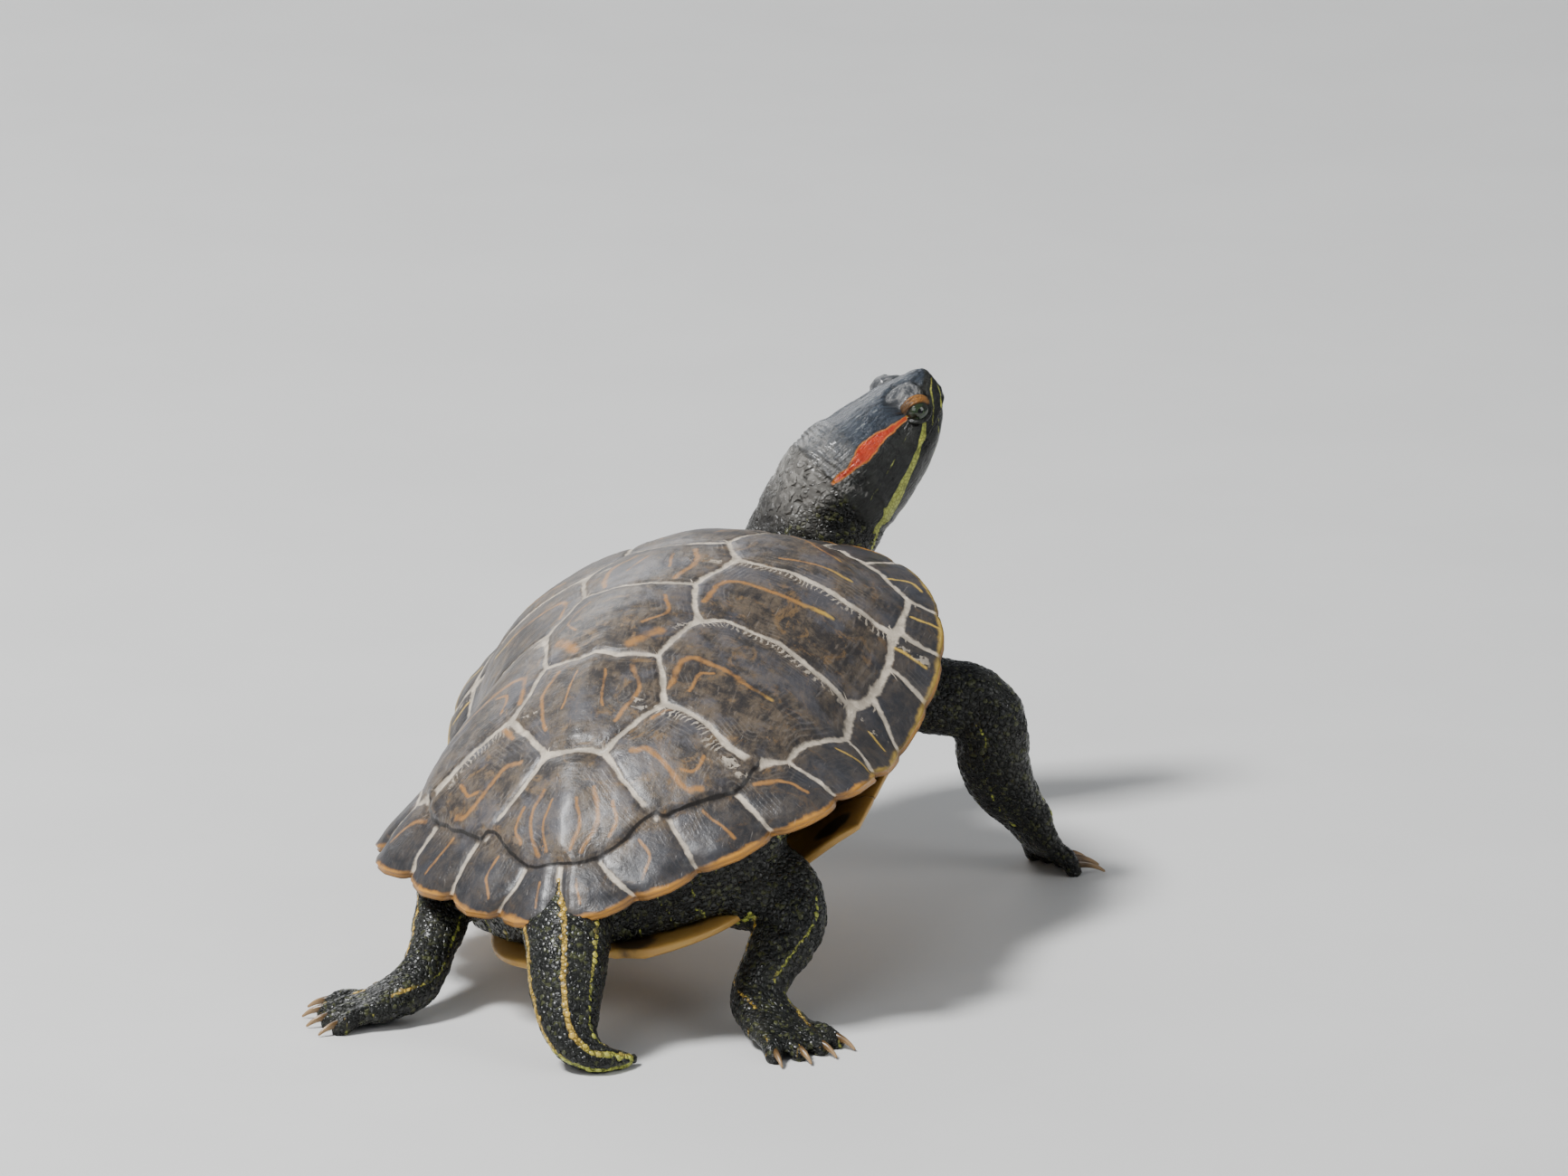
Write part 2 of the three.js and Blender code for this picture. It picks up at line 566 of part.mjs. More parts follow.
const turtle = new THREE.Group();
const shellFrame = new THREE.Group();
shellFrame.rotation.set(-radians(NOSE_UP), radians(LEFT_DOWN), 0);
shellFrame.position.z = SHELL_CENTRE_HEIGHT;
shellFrame.updateMatrix();
turtle.add(shellFrame);

function addPiece(name, solid, finish, parent = turtle) {
  const mesh = new THREE.Mesh(toGeometry(solid), new THREE.MeshStandardMaterial(FINISHES[finish]));
  mesh.name = name;
  parent.add(mesh);
}

const shellMatrix = shellFrame.matrix.toArray();
const inFloorFrame = (solid) => solid.transform(shellMatrix);

// Shell, with the flesh cut to fit between its two halves.
const carapace = carapaceShape(0);
const grownCarapace = carapaceShape(GAP);
const plastron = largestPiece(cut(plastronShape(0), grownCarapace));
const trunk = largestPiece(cut(trunkShape(0), grownCarapace, plastronShape(GAP)));
addPiece('carapace', carapace, 'carapace', shellFrame);
addPiece('plastron', plastron, 'plastron', shellFrame);
addPiece('trunk', trunk, 'skin', shellFrame);

// What every limb is cut back from: the flesh, both halves of the shell, and the floor.
const body = join(trunkShape(GAP), grownCarapace, plastronShape(GAP));
const grownBody = inFloorFrame(body);
const floorSlab = new THREE.BoxGeometry(600, 600, 60);
floorSlab.translate(0, 0, -30);
const floor = toSolid(floorSlab);

// Head, jaw, eyes and neck.
const HEAD_END = HEAD_SECTIONS.length - 1;
const cutStep = 0.03;
const eyeAt = (side) => onHead(EYE_AT.back, side * EYE_AT.side, EYE_AT.up);
const eyeBall = (side, radius) => ellipsoid(eyeAt(side), [radius, radius, radius], 10);
const orbit = (side) => ellipsoid(onHead(ORBIT.back, side * ORBIT.side, ORBIT.up), ORBIT.radii, 10);
const wholeHead = join(neckLoft(0, HEAD_END, 1.5, 18), orbit(1), orbit(-1));
const socketed = cut(wholeHead, eyeBall(1, EYE_RADIUS + GAP), eyeBall(-1, EYE_RADIUS + GAP));
addPiece('head', largestPiece(cut(socketed, jawWedge(GAP))), 'head');
addPiece('jaw', largestPiece(wholeHead.intersect(jawWedge(0))), 'head');
addPiece('eye_right', eyeBall(1, EYE_RADIUS), 'eye');
addPiece('eye_left', eyeBall(-1, EYE_RADIUS), 'eye');
const neckEnd = HEAD_END + NECK_SECTIONS.length;
addPiece('neck', largestPiece(cut(neckLoft(HEAD_END + cutStep, neckEnd, 2, 14), grownBody)), 'skin');

// Tail.
const tail = { path: TAIL_PATH.map((row) => [...row, 0]), back: [0, 1, 0.6], footBack: [0, 1, 0.6] };
const tailLoft = limbLoft(tail, 0, TAIL_PATH.length - 1, 1.7, 10);
addPiece('tail', largestPiece(cut(tailLoft, grownBody, floor)), 'skin');

// Limbs: two segments and a foot each, with the claws standing on their own.
function addLimb(limb, parts, side, joints, digits) {
  const end = limb.path.length - 1;
  const [first, second] = joints;
  const upper = (grow) => limbLoft(limb, 0, first - cutStep, 2, 12, grow);
  const lower = (grow) => limbLoft(limb, first + cutStep, second - cutStep, 2, 12, grow);
  const claws = [];
  let foot = limbLoft(limb, second + cutStep, end, 1.5, 10);
  for (let i = 0; i < digits.count; i++) {
    foot = foot.add(digitSolid(limb, digits, i));
    claws.push(clawSolid(limb, digits, i));
  }
  const grownClaws = claws.map((_, i) => {
    const { claw } = digitPaths(limb, digits, i);
    return taperedLoft(claw.slice(0, 2), [0, 1].map(() => digits.clawRadius + GAP), 6);
  });
  addPiece(`${parts[0]}_${side}`, largestPiece(cut(upper(0), grownBody)), 'skin');
  addPiece(`${parts[1]}_${side}`, largestPiece(cut(lower(0), upper(0), upper(GAP), grownBody)), 'skin');
  foot = cut(foot, lower(0), lower(GAP), floor, ...grownClaws);
  addPiece(`${parts[2]}_${side}`, largestPiece(foot), 'skin');
  claws.forEach((claw, i) => {
    addPiece(`claw_${parts[2]}_${side}_${i + 1}`, largestPiece(cut(claw, floor)), 'claw');
  });
}

addLimb(RIGHT_ARM, ['upper_arm', 'forearm', 'hand'], 'right', ARM_JOINTS, FRONT_DIGITS);
addLimb(LEFT_ARM, ['upper_arm', 'forearm', 'hand'], 'left', ARM_JOINTS, FRONT_DIGITS);
addLimb(RIGHT_LEG, ['thigh', 'shin', 'foot'], 'right', LEG_JOINTS, HIND_DIGITS);
addLimb(LEFT_LEG, ['thigh', 'shin', 'foot'], 'left', LEG_JOINTS, HIND_DIGITS);

// The origin is the middle of the box's underside.
const box = new THREE.Box3().setFromObject(turtle, true);
const middle = box.getCenter(new THREE.Vector3());
turtle.position.set(-middle.x, -middle.y, -box.min.z);

export default turtle;
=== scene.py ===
"""A red-eared slider turtle, life size, as a still museum model.

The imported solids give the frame. Shell, skin, scales, eyes and claws are made here as fine meshes on
the same paths and sections, in millimetres on the floor, and brought into the frame at the end.
"""

import json
from math import cos, pi, radians, sin

import bmesh
import bpy
import numpy as np
from mathutils import Vector, kdtree
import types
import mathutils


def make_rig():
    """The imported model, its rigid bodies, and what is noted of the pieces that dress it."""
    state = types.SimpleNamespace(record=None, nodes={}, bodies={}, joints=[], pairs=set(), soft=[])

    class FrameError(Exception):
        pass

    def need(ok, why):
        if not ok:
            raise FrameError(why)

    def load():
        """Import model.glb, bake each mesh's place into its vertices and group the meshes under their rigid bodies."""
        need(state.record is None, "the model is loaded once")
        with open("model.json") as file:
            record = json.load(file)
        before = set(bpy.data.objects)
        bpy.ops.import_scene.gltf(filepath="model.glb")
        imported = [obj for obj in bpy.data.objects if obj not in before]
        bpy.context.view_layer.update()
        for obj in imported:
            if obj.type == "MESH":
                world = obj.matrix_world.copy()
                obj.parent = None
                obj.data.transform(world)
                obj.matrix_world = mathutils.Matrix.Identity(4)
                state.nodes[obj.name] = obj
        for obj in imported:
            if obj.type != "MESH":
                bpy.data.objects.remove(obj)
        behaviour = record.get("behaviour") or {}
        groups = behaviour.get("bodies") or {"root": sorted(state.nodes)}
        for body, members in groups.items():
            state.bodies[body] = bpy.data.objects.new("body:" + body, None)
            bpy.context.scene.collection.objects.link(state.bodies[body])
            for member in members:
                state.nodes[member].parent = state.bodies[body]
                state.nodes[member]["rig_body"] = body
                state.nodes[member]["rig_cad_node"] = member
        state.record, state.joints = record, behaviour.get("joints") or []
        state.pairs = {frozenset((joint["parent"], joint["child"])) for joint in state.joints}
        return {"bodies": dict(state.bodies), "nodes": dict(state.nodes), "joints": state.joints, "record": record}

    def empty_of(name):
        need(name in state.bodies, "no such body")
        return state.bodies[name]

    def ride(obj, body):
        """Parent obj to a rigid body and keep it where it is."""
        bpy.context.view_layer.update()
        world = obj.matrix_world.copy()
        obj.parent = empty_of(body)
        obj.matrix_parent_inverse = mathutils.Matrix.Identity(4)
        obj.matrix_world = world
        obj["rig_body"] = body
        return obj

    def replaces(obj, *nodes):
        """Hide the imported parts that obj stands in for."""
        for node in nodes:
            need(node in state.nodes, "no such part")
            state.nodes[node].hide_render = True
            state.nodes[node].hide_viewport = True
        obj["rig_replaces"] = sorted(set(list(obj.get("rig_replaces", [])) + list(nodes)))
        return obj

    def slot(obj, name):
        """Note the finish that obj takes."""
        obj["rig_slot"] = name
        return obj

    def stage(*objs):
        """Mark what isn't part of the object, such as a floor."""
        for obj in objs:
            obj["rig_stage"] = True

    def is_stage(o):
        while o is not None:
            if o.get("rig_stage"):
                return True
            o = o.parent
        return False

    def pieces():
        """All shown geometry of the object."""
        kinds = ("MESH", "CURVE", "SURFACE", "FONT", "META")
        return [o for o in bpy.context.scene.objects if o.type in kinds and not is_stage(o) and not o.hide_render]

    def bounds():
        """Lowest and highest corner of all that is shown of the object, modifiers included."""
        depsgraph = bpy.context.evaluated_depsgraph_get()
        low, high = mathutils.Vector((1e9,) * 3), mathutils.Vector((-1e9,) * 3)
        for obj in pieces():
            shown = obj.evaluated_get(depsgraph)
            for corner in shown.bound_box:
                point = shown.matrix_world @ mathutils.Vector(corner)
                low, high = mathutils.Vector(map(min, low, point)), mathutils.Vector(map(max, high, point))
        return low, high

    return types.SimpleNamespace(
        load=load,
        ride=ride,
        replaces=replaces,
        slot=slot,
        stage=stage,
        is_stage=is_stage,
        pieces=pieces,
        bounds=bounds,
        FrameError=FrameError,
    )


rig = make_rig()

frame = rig.load()
CAD_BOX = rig.bounds()

bl_info = {
    "name": "Red-eared slider",
    "version": (1, 0, 0),
    "blender": (4, 5, 0),
    "location": "View3D > Sidebar > Turtle",
    "description": "Builds a life-size red-eared slider turtle on its packed frame",
    "category": "Object",
}

MM = 0.001
SEED = 11

# ---- The animal's driving sizes, in millimetres and degrees -------------------------------------

SHELL_LENGTH = 190.0
SHELL_WIDTH = 149.9
DOME_HEIGHT = 35.6
SHELL_CENTRE_HEIGHT = 56.0
NOSE_UP = 12.3
LEFT_DOWN = 12.2
WIDEST_Y = 3.7
FRONT_ROUNDNESS = 2.06
REAR_ROUNDNESS = 1.58
PINCH = (0.167, 0.0, 28.3)      # share, station and reach of the waist at the bridge
FLARE = (0.08, 53.0, 17.4)      # the same for the spread rear marginals
SAG = (14.9, -3.0, 33.3)        # depth, station and reach of the rim's dip at the bridge
FRONT_LIFT = 2.7
REAR_LIFT = -3.6
SEAM_RING = 0.82
DOME_SPREAD = 1.62
STEEPNESS = {"side": 0.68, "rear": 0.85, "front": 0.443}
SEAM_HEIGHT = {"front": 0.313, "rear": 0.233}
SOFTENING = 0.03
RIM_THICKNESS = 2.2
NOTCH_DEPTH = 1.9
NOTCH_WIDTH = 0.035
MARGINAL_SEAMS = [
    -0.499, -0.47, -0.4, -0.26, -0.183, -0.105, -0.01, 0.11, 0.24, 0.333, 0.408, 0.465, 0.4999,
]
FIRST_NOTCHED = 7

PLASTRON_Z = -28.0
PLASTRON_THICKNESS = 3.0
PLASTRON_ENDS = (-80.0, 82.0)
BRIDGE_ENDS = (-38.0, 34.0)
LOBE_HALF_WIDTH = 37.0
BRIDGE_HALF_WIDTH = 59.0
BRIDGE_RISE = 8.5
LOBE_LIFT = (4.0, 5.0)
ANAL_NOTCH = 7.0

SNOUT = np.array([-38.8, -127.7, 112.5])
HEAD_TURN = 53.8
HEAD_RAISE = 38.3
HEAD_ROLL = 5.2
HEAD_SECTIONS = [    # behind the snout, half width, height above the axis, depth below it
    (-1.8, 1.8, 6.6, 0.4), (-0.6, 2.8, 7.4, 2.4), (0.8, 3.5, 8, 4.6), (2.4, 4.3, 8.5, 6.2),
    (4.8, 5.6, 9.1, 8.2), (7.6, 7, 9.8, 10.2), (11, 8.7, 10.5, 12), (15.4, 10.7, 11.5, 13.9),
    (21, 12.3, 12.6, 15.6), (27, 13.3, 13.3, 17.2), (34, 14, 14.4, 18.3),
]
NECK_SECTIONS = [    # x, y, z, half width, up, down, turn
    (-10.6, -110.2, 76.5, 15, 15.4, 15.8, 42), (-5.2, -101.5, 64.5, 14.2, 13.6, 13.6, 20),
    (-1, -86, 58.5, 13.6, 12.4, 12.4, 0), (0, -64, 55, 14, 13, 13, 0),
]
EYE_RADIUS = 3.5
EYE_AT = (7.9, 6.4, 1.6)        # behind the snout, to the side, above the axis
MOUTH = {"front": -3.2, "corner": -5.6, "corner_back": 15.0}

# Limb stations: x, y, z, half width, half thickness, share of the foot's own facing.
LIMBS = {
    "arm_right": {
        "path": [
            (-40, -58, 55, 9.6, 8.6, 0), (-55.8, -63.6, 50.7, 9.8, 8.6, 0),
            (-64.4, -67, 48.7, 9.6, 8.2, 0), (-69.4, -68.2, 43, 9.4, 7.6, 0),
            (-69.8, -70.4, 33, 9.2, 6.6, 0.1), (-71.6, -74.4, 24.2, 8.4, 5.6, 0.35),
            (-75.6, -79.2, 16.4, 7.2, 4.7, 0.6), (-77.8, -81.8, 10.6, 8.2, 3.7, 1),
            (-80, -84.6, 5.4, 9.2, 2.8, 1),
        ],
        "back": (0.27, -0.96, 0), "foot_back": (-0.5, -0.62, 0.6), "front": True,
    },
    "arm_left": {
        "path": [
            (32, -58, 44, 9.6, 8.6, 0), (44, -63, 43, 9.8, 8.6, 0), (53, -65, 40.5, 9.6, 8.2, 0),
            (57, -66, 35, 9.3, 7.6, 0), (58.6, -69, 27, 8.9, 6.6, 0.2),
            (60.6, -73, 19.6, 8.1, 5.6, 0.5), (63.4, -78.4, 12.6, 7.4, 4.7, 0.8),
            (65.8, -84.4, 7.4, 8.6, 3.5, 1), (67.4, -90, 4.3, 9.4, 2.6, 1),
        ],
        "back": (-0.27, -0.96, 0), "foot_back": (0.15, -0.65, 0.74), "front": True,
    },
    "leg_left": {
        "path": [
            (22, 46, 27, 12, 11, 0), (30, 44, 28, 11.6, 10.2, 0), (36.5, 46, 27, 9.8, 8.6, 0),
            (38.5, 54, 22.6, 7.6, 6.8, 0.2), (38.6, 64, 15.6, 6, 5.6, 0.5), (40, 73, 9, 6, 5.4, 0.9),
            (46, 78.4, 5.2, 8.2, 4.4, 1), (53, 81.4, 3.2, 10.2, 2.9, 1),
        ],
        "back": (0, 0.7, 0.7), "foot_back": (-0.2, -0.1, 1), "front": False,
    },
    "leg_right": {
        "path": [
            (-26, 46, 36, 12.5, 11.5, 0), (-36, 44, 33, 12.5, 11, 0), (-45, 44, 29, 11, 9.4, 0),
            (-48.5, 49, 22.6, 9, 7.8, 0.2), (-46, 56, 15.6, 7.2, 6.4, 0.5),
            (-44.5, 62.5, 9, 6.8, 5.6, 0.9), (-49.5, 68.5, 5.2, 8.4, 4.4, 1),
            (-56.5, 74, 3.2, 10.4, 2.9, 1),
        ],
        "back": (0, 0.7, 0.7), "foot_back": (0.1, -0.15, 1), "front": False,
    },
}
TAIL_PATH = [
    (5, 60, 40, 12, 9.5, 0), (1.5, 74, 35.5, 12, 9, 0), (-2.5, 85.5, 27.4, 10.8, 8, 0),
    (-5.2, 96, 16.8, 9, 6.8, 0), (-8.6, 102.6, 8.6, 6.6, 5.4, 0), (-14, 104.4, 4.2, 4.3, 3.8, 0),
    (-19.5, 100.6, 2.4, 2.6, 2.3, 0), (-23, 96, 1.5, 1, 1, 0),
]
FRONT_DIGITS = {
    "count": 5, "spread": 3.8, "fan": 10, "reach": [3, 4.6, 5.2, 4.6, 3], "radius": 2.2,
    "claw": 9.5, "claw_radius": 1.25, "claw_rise": 1.8,
}
HIND_DIGITS = {
    "count": 4, "spread": 5.2, "fan": 12, "reach": [6, 7.8, 8, 6.4], "radius": 2.3,
    "claw": 6.5, "claw_radius": 1.2, "claw_rise": 1.2,
}
DIGIT_ROOT = 3.0
PAD_HEIGHT = 1.4
CLAW_TIP_RADIUS = 0.3
SECTION_POWER = 2 / 2.3


# ---- Small geometry helpers ---------------------------------------------------------------------

def unit(v):
    """Rows of v at length one."""
    v = np.asarray(v, float)
    return v / np.maximum(np.linalg.norm(v, axis=-1, keepdims=True), 1e-9)


def smooth(x, low, high):
    """A smooth step from 0 at low to 1 at high."""
    t = np.clip((np.asarray(x, float) - low) / (high - low), 0, 1)
    return t * t * (3 - 2 * t)


def hump(y, middle, reach):
    """A smooth hump of height one."""
    return np.exp(-(((y - middle) / reach) ** 2))


def read_path(rows, places):
    """A Catmull-Rom curve through rows of numbers, read at places counted in stations."""
    rows = np.asarray(rows, float)
    last = len(rows) - 1
    first = np.clip(np.floor(places).astype(int), 0, last - 1)
    t = (places - first)[:, None]
    padded = np.vstack([2 * rows[0] - rows[1], rows, 2 * rows[-1] - rows[-2]])
    p0, p1, p2, p3 = (padded[first + k] for k in range(4))
    m1 = (p2 - p0) / 2
    m2 = (p3 - p1) / 2
    return ((2 * p1 - 2 * p2 + m1 + m2) * t + (-3 * p1 + 3 * p2 - 2 * m1 - m2)) * t * t + m1 * t + p1


def path_direction(rows, places):
    """The direction of such a curve."""
    last = len(rows) - 1
    ahead = read_path(rows, np.minimum(places + 0.01, last))
    behind = read_path(rows, np.maximum(places - 0.01, 0))
    return unit(ahead[:, :3] - behind[:, :3])


def rounded_rings(centres, across, above, wide, up, down, sides):
    """Rings of a flattened superellipse, one for each centre."""
    angle = 2 * pi * np.arange(sides) / sides
    c = np.sign(np.cos(angle)) * np.abs(np.cos(angle)) ** SECTION_POWER
    s = np.sign(np.sin(angle)) * np.abs(np.sin(angle)) ** SECTION_POWER
    height = np.where(s > 0, up[:, None], down[:, None]) * s
    return centres[:, None] + across[:, None] * (wide[:, None] * c)[..., None] + above[:, None] * height[..., None]


def ring_faces(rings, sides):
    """Quads between neighbouring rings, and a fan at each end round one more vertex."""
    a = np.arange(sides)
    b = (a + 1) % sides
    rows = np.arange(rings - 1)[:, None] * sides
    quads = np.stack([rows + a, rows + b, rows + sides + b, rows + sides + a], -1).reshape(-1, 4)
    hub = rings * sides
    first = np.stack([np.full(sides, hub), b, a], -1)
    base = (rings - 1) * sides
    last = np.stack([np.full(sides, hub + 1), base + a, base + b], -1)
    return quads.tolist() + first.tolist() + last.tolist()


def loft(rings):
    """A closed body from rings of equally many points: its vertices and faces, turned outwards."""
    count, sides, _ = rings.shape
    points = np.vstack([rings.reshape(-1, 3), rings[0].mean(0), rings[-1].mean(0)])
    faces = ring_faces(count, sides)
    volume = 0.0
    for face in faces:
        p = points[face[0]]
        for k in range(1, len(face) - 1):
            volume += float(np.dot(p, np.cross(points[face[k]], points[face[k + 1]])))
    return points, [face[::-1] for face in faces] if volume < 0 else faces


def cheap_noise(points, scale, seed):
    """Smooth noise of about unit size, as a sum of a few waves in random directions."""
    rng = np.random.default_rng(seed)
    total = np.zeros(len(points))
    for octave in range(4):
        for _ in range(3):
            direction = rng.normal(size=points.shape[1])
            direction *= 2 * pi / scale * (1 + 0.7 * octave) / np.linalg.norm(direction)
            total += np.sin(points @ direction + rng.uniform(0, 2 * pi)) / (3 + 2 * octave)
    return total


# ---- The shell's surface ------------------------------------------------------------------------

def half_length(rear):
    """Reach and roundness of the rear or front half of the carapace."""
    reach = np.where(rear, SHELL_LENGTH / 2 - WIDEST_Y, SHELL_LENGTH / 2 + WIDEST_Y)
    return reach, np.where(rear, REAR_ROUNDNESS, FRONT_ROUNDNESS)


def shell_points(c, angle):
    """Points of the carapace at ring c, 0 at the top and 1 at the rim, and at an angle round it."""
    sine, cosine = np.sin(angle), np.cos(angle)
    reach, power = half_length(sine >= 0)
    t = c * np.sign(sine) * np.abs(sine) ** (2 / power)
    a = c * np.abs(cosine) ** (2 / power)
    y = WIDEST_Y + t * reach
    spread = 1 - PINCH[0] * hump(y, *PINCH[1:]) + FLARE[0] * hump(y, *FLARE[1:])
    x = np.sign(cosine) * a * SHELL_WIDTH / 2 * spread
    side = a * a / (a * a + t * t + 1e-9)
    rear = t >= 0
    steep = side * STEEPNESS["side"] + (1 - side) * np.where(rear, STEEPNESS["rear"], STEEPNESS["front"])
    front_seam, rear_seam = SEAM_HEIGHT["front"], SEAM_HEIGHT["rear"]
    seam = side * front_seam + (1 - side) * np.where(rear, rear_seam, front_seam)
    lift = np.where(rear, REAR_LIFT, FRONT_LIFT) * t * t - SAG[0] * hump(y, *SAG[1:])
    inside = 1 - np.clip(c / SEAM_RING, 0, 1) ** DOME_SPREAD
    rise = ((inside + SOFTENING) ** steep - SOFTENING ** steep) / ((1 + SOFTENING) ** steep - SOFTENING ** steep)
    share = np.where(c < SEAM_RING, seam + (1 - seam) * rise, seam * (1 - c) / (1 - SEAM_RING))
    return np.stack([x, y, (DOME_HEIGHT - lift) * share + lift], -1)


def rim_notch(y):
    """How far the rim is drawn in at each rear seam."""
    seams = np.array(MARGINAL_SEAMS[FIRST_NOTCHED:])
    near = 1 - np.abs(y[:, None] / SHELL_LENGTH - seams) / NOTCH_WIDTH
    return NOTCH_DEPTH * np.clip(near, 0, 1).max(1)


def rim_angle(y):
    """The angle round the shell at which the rim stands over station y."""
    offset = y - WIDEST_Y
    reach, power = half_length(offset >= 0)
    return float(np.sign(offset) * np.arcsin((abs(offset) / reach) ** (power / 2)))


def shell_to_floor(points):
    """From the shell's own frame to the floor's."""
    pitch, roll = -radians(NOSE_UP), radians(LEFT_DOWN)
    rx = np.array([[1, 0, 0], [0, cos(pitch), -sin(pitch)], [0, sin(pitch), cos(pitch)]])
    ry = np.array([[cos(roll), 0, sin(roll)], [0, 1, 0], [-sin(roll), 0, cos(roll)]])
    return points @ (rx @ ry).T + np.array([0, 0, SHELL_CENTRE_HEIGHT])


def floor_to_shell(points):
    """From the floor's frame to the shell's own."""
    origin = shell_to_floor(np.zeros(3))
    axes = np.stack([shell_to_floor(axis) - origin for axis in np.eye(3)])
    return (points - origin) @ axes.T


def bridge_share(y):
    """One along the bridge and nought on the lobes of the plastron."""
    front, rear = BRIDGE_ENDS
    return smooth(y, front - 5, front + 3) * (1 - smooth(y, rear - 3, rear + 5))


def plastron_half_width(y):
    """Half width of the plastron at station y."""
    start = np.where(y < 0, BRIDGE_ENDS[0], BRIDGE_ENDS[1])
    tip = np.where(y < 0, PLASTRON_ENDS[0], PLASTRON_ENDS[1])
    to_tip = np.clip((y - start) / (tip - start), 0, 1)
    lobe = LOBE_HALF_WIDTH * np.sqrt(np.maximum(1 - to_tip ** 2.6, 0.04))
    return lobe + (BRIDGE_HALF_WIDTH - lobe) * bridge_share(y)


def plastron_underside(x, y):
    """Height of the plastron's underside in the shell's frame."""
    bridge = BRIDGE_RISE * smooth(np.abs(x), LOBE_HALF_WIDTH - 3, BRIDGE_HALF_WIDTH + 2)
    front = np.clip((BRIDGE_ENDS[0] - y) / (BRIDGE_ENDS[0] - PLASTRON_ENDS[0]), 0, 2)
    rear = np.clip((y - BRIDGE_ENDS[1]) / (PLASTRON_ENDS[1] - BRIDGE_ENDS[1]), 0, 2)
    return PLASTRON_Z + bridge + LOBE_LIFT[0] * front ** 2 + LOBE_LIFT[1] * rear ** 2


# ---- Head, neck, limbs and tail -----------------------------------------------------------------

def head_axes():
    """Forward, right and up of the head, in the floor's frame."""
    turn, lift, roll = radians(HEAD_TURN), radians(HEAD_RAISE), radians(HEAD_ROLL)
    level = np.array([-cos(turn), sin(turn), 0])
    forward = np.array([-sin(turn) * cos(lift), -cos(turn) * cos(lift), sin(lift)])
    right = level * cos(roll) + np.cross(level, forward) * sin(roll)
    return forward, right, np.cross(right, forward)


FORWARD, RIGHTWARD, UPWARD = head_axes()


def on_head(back, right, up):
    """A place given by how far it lies behind the snout, to the right and above the head's axis."""
    return SNOUT - FORWARD * back + RIGHTWARD * right + UPWARD * up


def in_head(points):
    """The same three numbers for points of the floor's frame."""
    local = points - SNOUT
    return np.stack([-(local @ FORWARD), local @ RIGHTWARD, local @ UPWARD], -1)


def neck_rows():
    """Head and neck as one run: x, y, z, half width, up, down, turn and level of the head's axes."""
    rows = [[*on_head(back, 0, 0), wide, up, down, HEAD_TURN, 1] for back, wide, up, down in HEAD_SECTIONS]
    rows += [[*section, section[-1] / HEAD_TURN] for section in NECK_SECTIONS]
    return np.array(rows, float)


def neck_frames(places):
    """Rows of the neck's run at some places, with the axes of their sections."""
    rows = neck_rows()
    row = read_path(rows, places)
    along = -path_direction(rows, places)
    turn = np.radians(row[:, 6])
    side = np.stack([-np.cos(turn), np.sin(turn), 0 * turn], -1)
    side = side + UPWARD * (sin(radians(HEAD_ROLL)) * row[:, 7:8])
    side = unit(side - along * (side * along).sum(1, keepdims=True))
    return row, along, side, np.cross(side, along)


def limb_frames(limb, places):
    """Rows of a limb's path at some places, with the axes of their sections."""
    row = read_path(limb["path"], places)
    along = path_direction(limb["path"], places)
    back, foot_back = np.array(limb["back"], float), np.array(limb["foot_back"], float)
    facing = back + (foot_back - back) * row[:, 5:6]
    wide_axis = unit(np.cross(along, facing))
    return row, along, wide_axis, np.cross(wide_axis, along)


def limb_loft(limb, rings, sides):
    """The closed body of a limb from root to foot."""
    places = np.linspace(0, len(limb["path"]) - 1, rings)
    row, _, wide_axis, back = limb_frames(limb, places)
    return loft(rounded_rings(row[:, :3], wide_axis, back, row[:, 3], row[:, 4], row[:, 4], sides))


def digits_of(limb):
    """The sizes of a limb's digits."""
    return FRONT_DIGITS if limb["front"] else HIND_DIGITS


def digit_path(limb, index):
    """Root and tip of a digit, the way it points, and the run of its claw."""
    digits = digits_of(limb)
    row, along, wide_axis, _ = limb_frames(limb, np.array([len(limb["path"]) - 1.0]))
    centre, along, wide_axis = row[0, :3], along[0], wide_axis[0]
    offset = index - (digits["count"] - 1) / 2
    heading = unit(np.array([along[0], along[1], 0]))
    across = unit(np.array([wide_axis[0], wide_axis[1], 0]))
    fan = radians(digits["fan"]) * offset
    outward = heading * cos(fan) + across * sin(fan)
    root = centre - along * DIGIT_ROOT + wide_axis * offset * digits["spread"] * 0.8
    tip = centre + across * offset * digits["spread"] + outward * digits["reach"][index]
    tip[2] = PAD_HEIGHT
    return root, tip, outward


def claw_run(limb, index, steps):
    """Points along a claw, from inside its digit down to the floor."""
    digits = digits_of(limb)
    _, tip, outward = digit_path(limb, index)
    share = np.linspace(0, 1, steps)
    run = tip + outward * (digits["claw"] * share * (1 - 0.15 * share))[:, None]
    top, low = PAD_HEIGHT + digits["claw_rise"], CLAW_TIP_RADIUS + 0.15
    run[:, 2] = top + (low - top) * share ** 1.9
    return run, share


def tapered_tube(points, radii, sides, flatten=1.0):
    """A closed tube through points, round or flattened from side to side."""
    points = np.asarray(points, float)
    ahead = np.vstack([points[1:], points[-1:]])
    behind = np.vstack([points[:1], points[:-1]])
    along = unit(ahead - behind)
    across = unit(np.cross(along, np.array([0, 0, 1.0])))
    radii = np.asarray(radii, float)
    return loft(rounded_rings(points, across, np.cross(across, along), radii * flatten, radii, radii, sides))


def frame_offset():
    """From the floor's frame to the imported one, from where the right eye's solid stands."""
    eye = frame["nodes"]["eye_right"]
    centre = np.mean([list(v.co) for v in eye.data.vertices], axis=0) / MM
    back, side, up = EYE_AT
    return centre - on_head(back, side, up)


OFFSET = frame_offset()


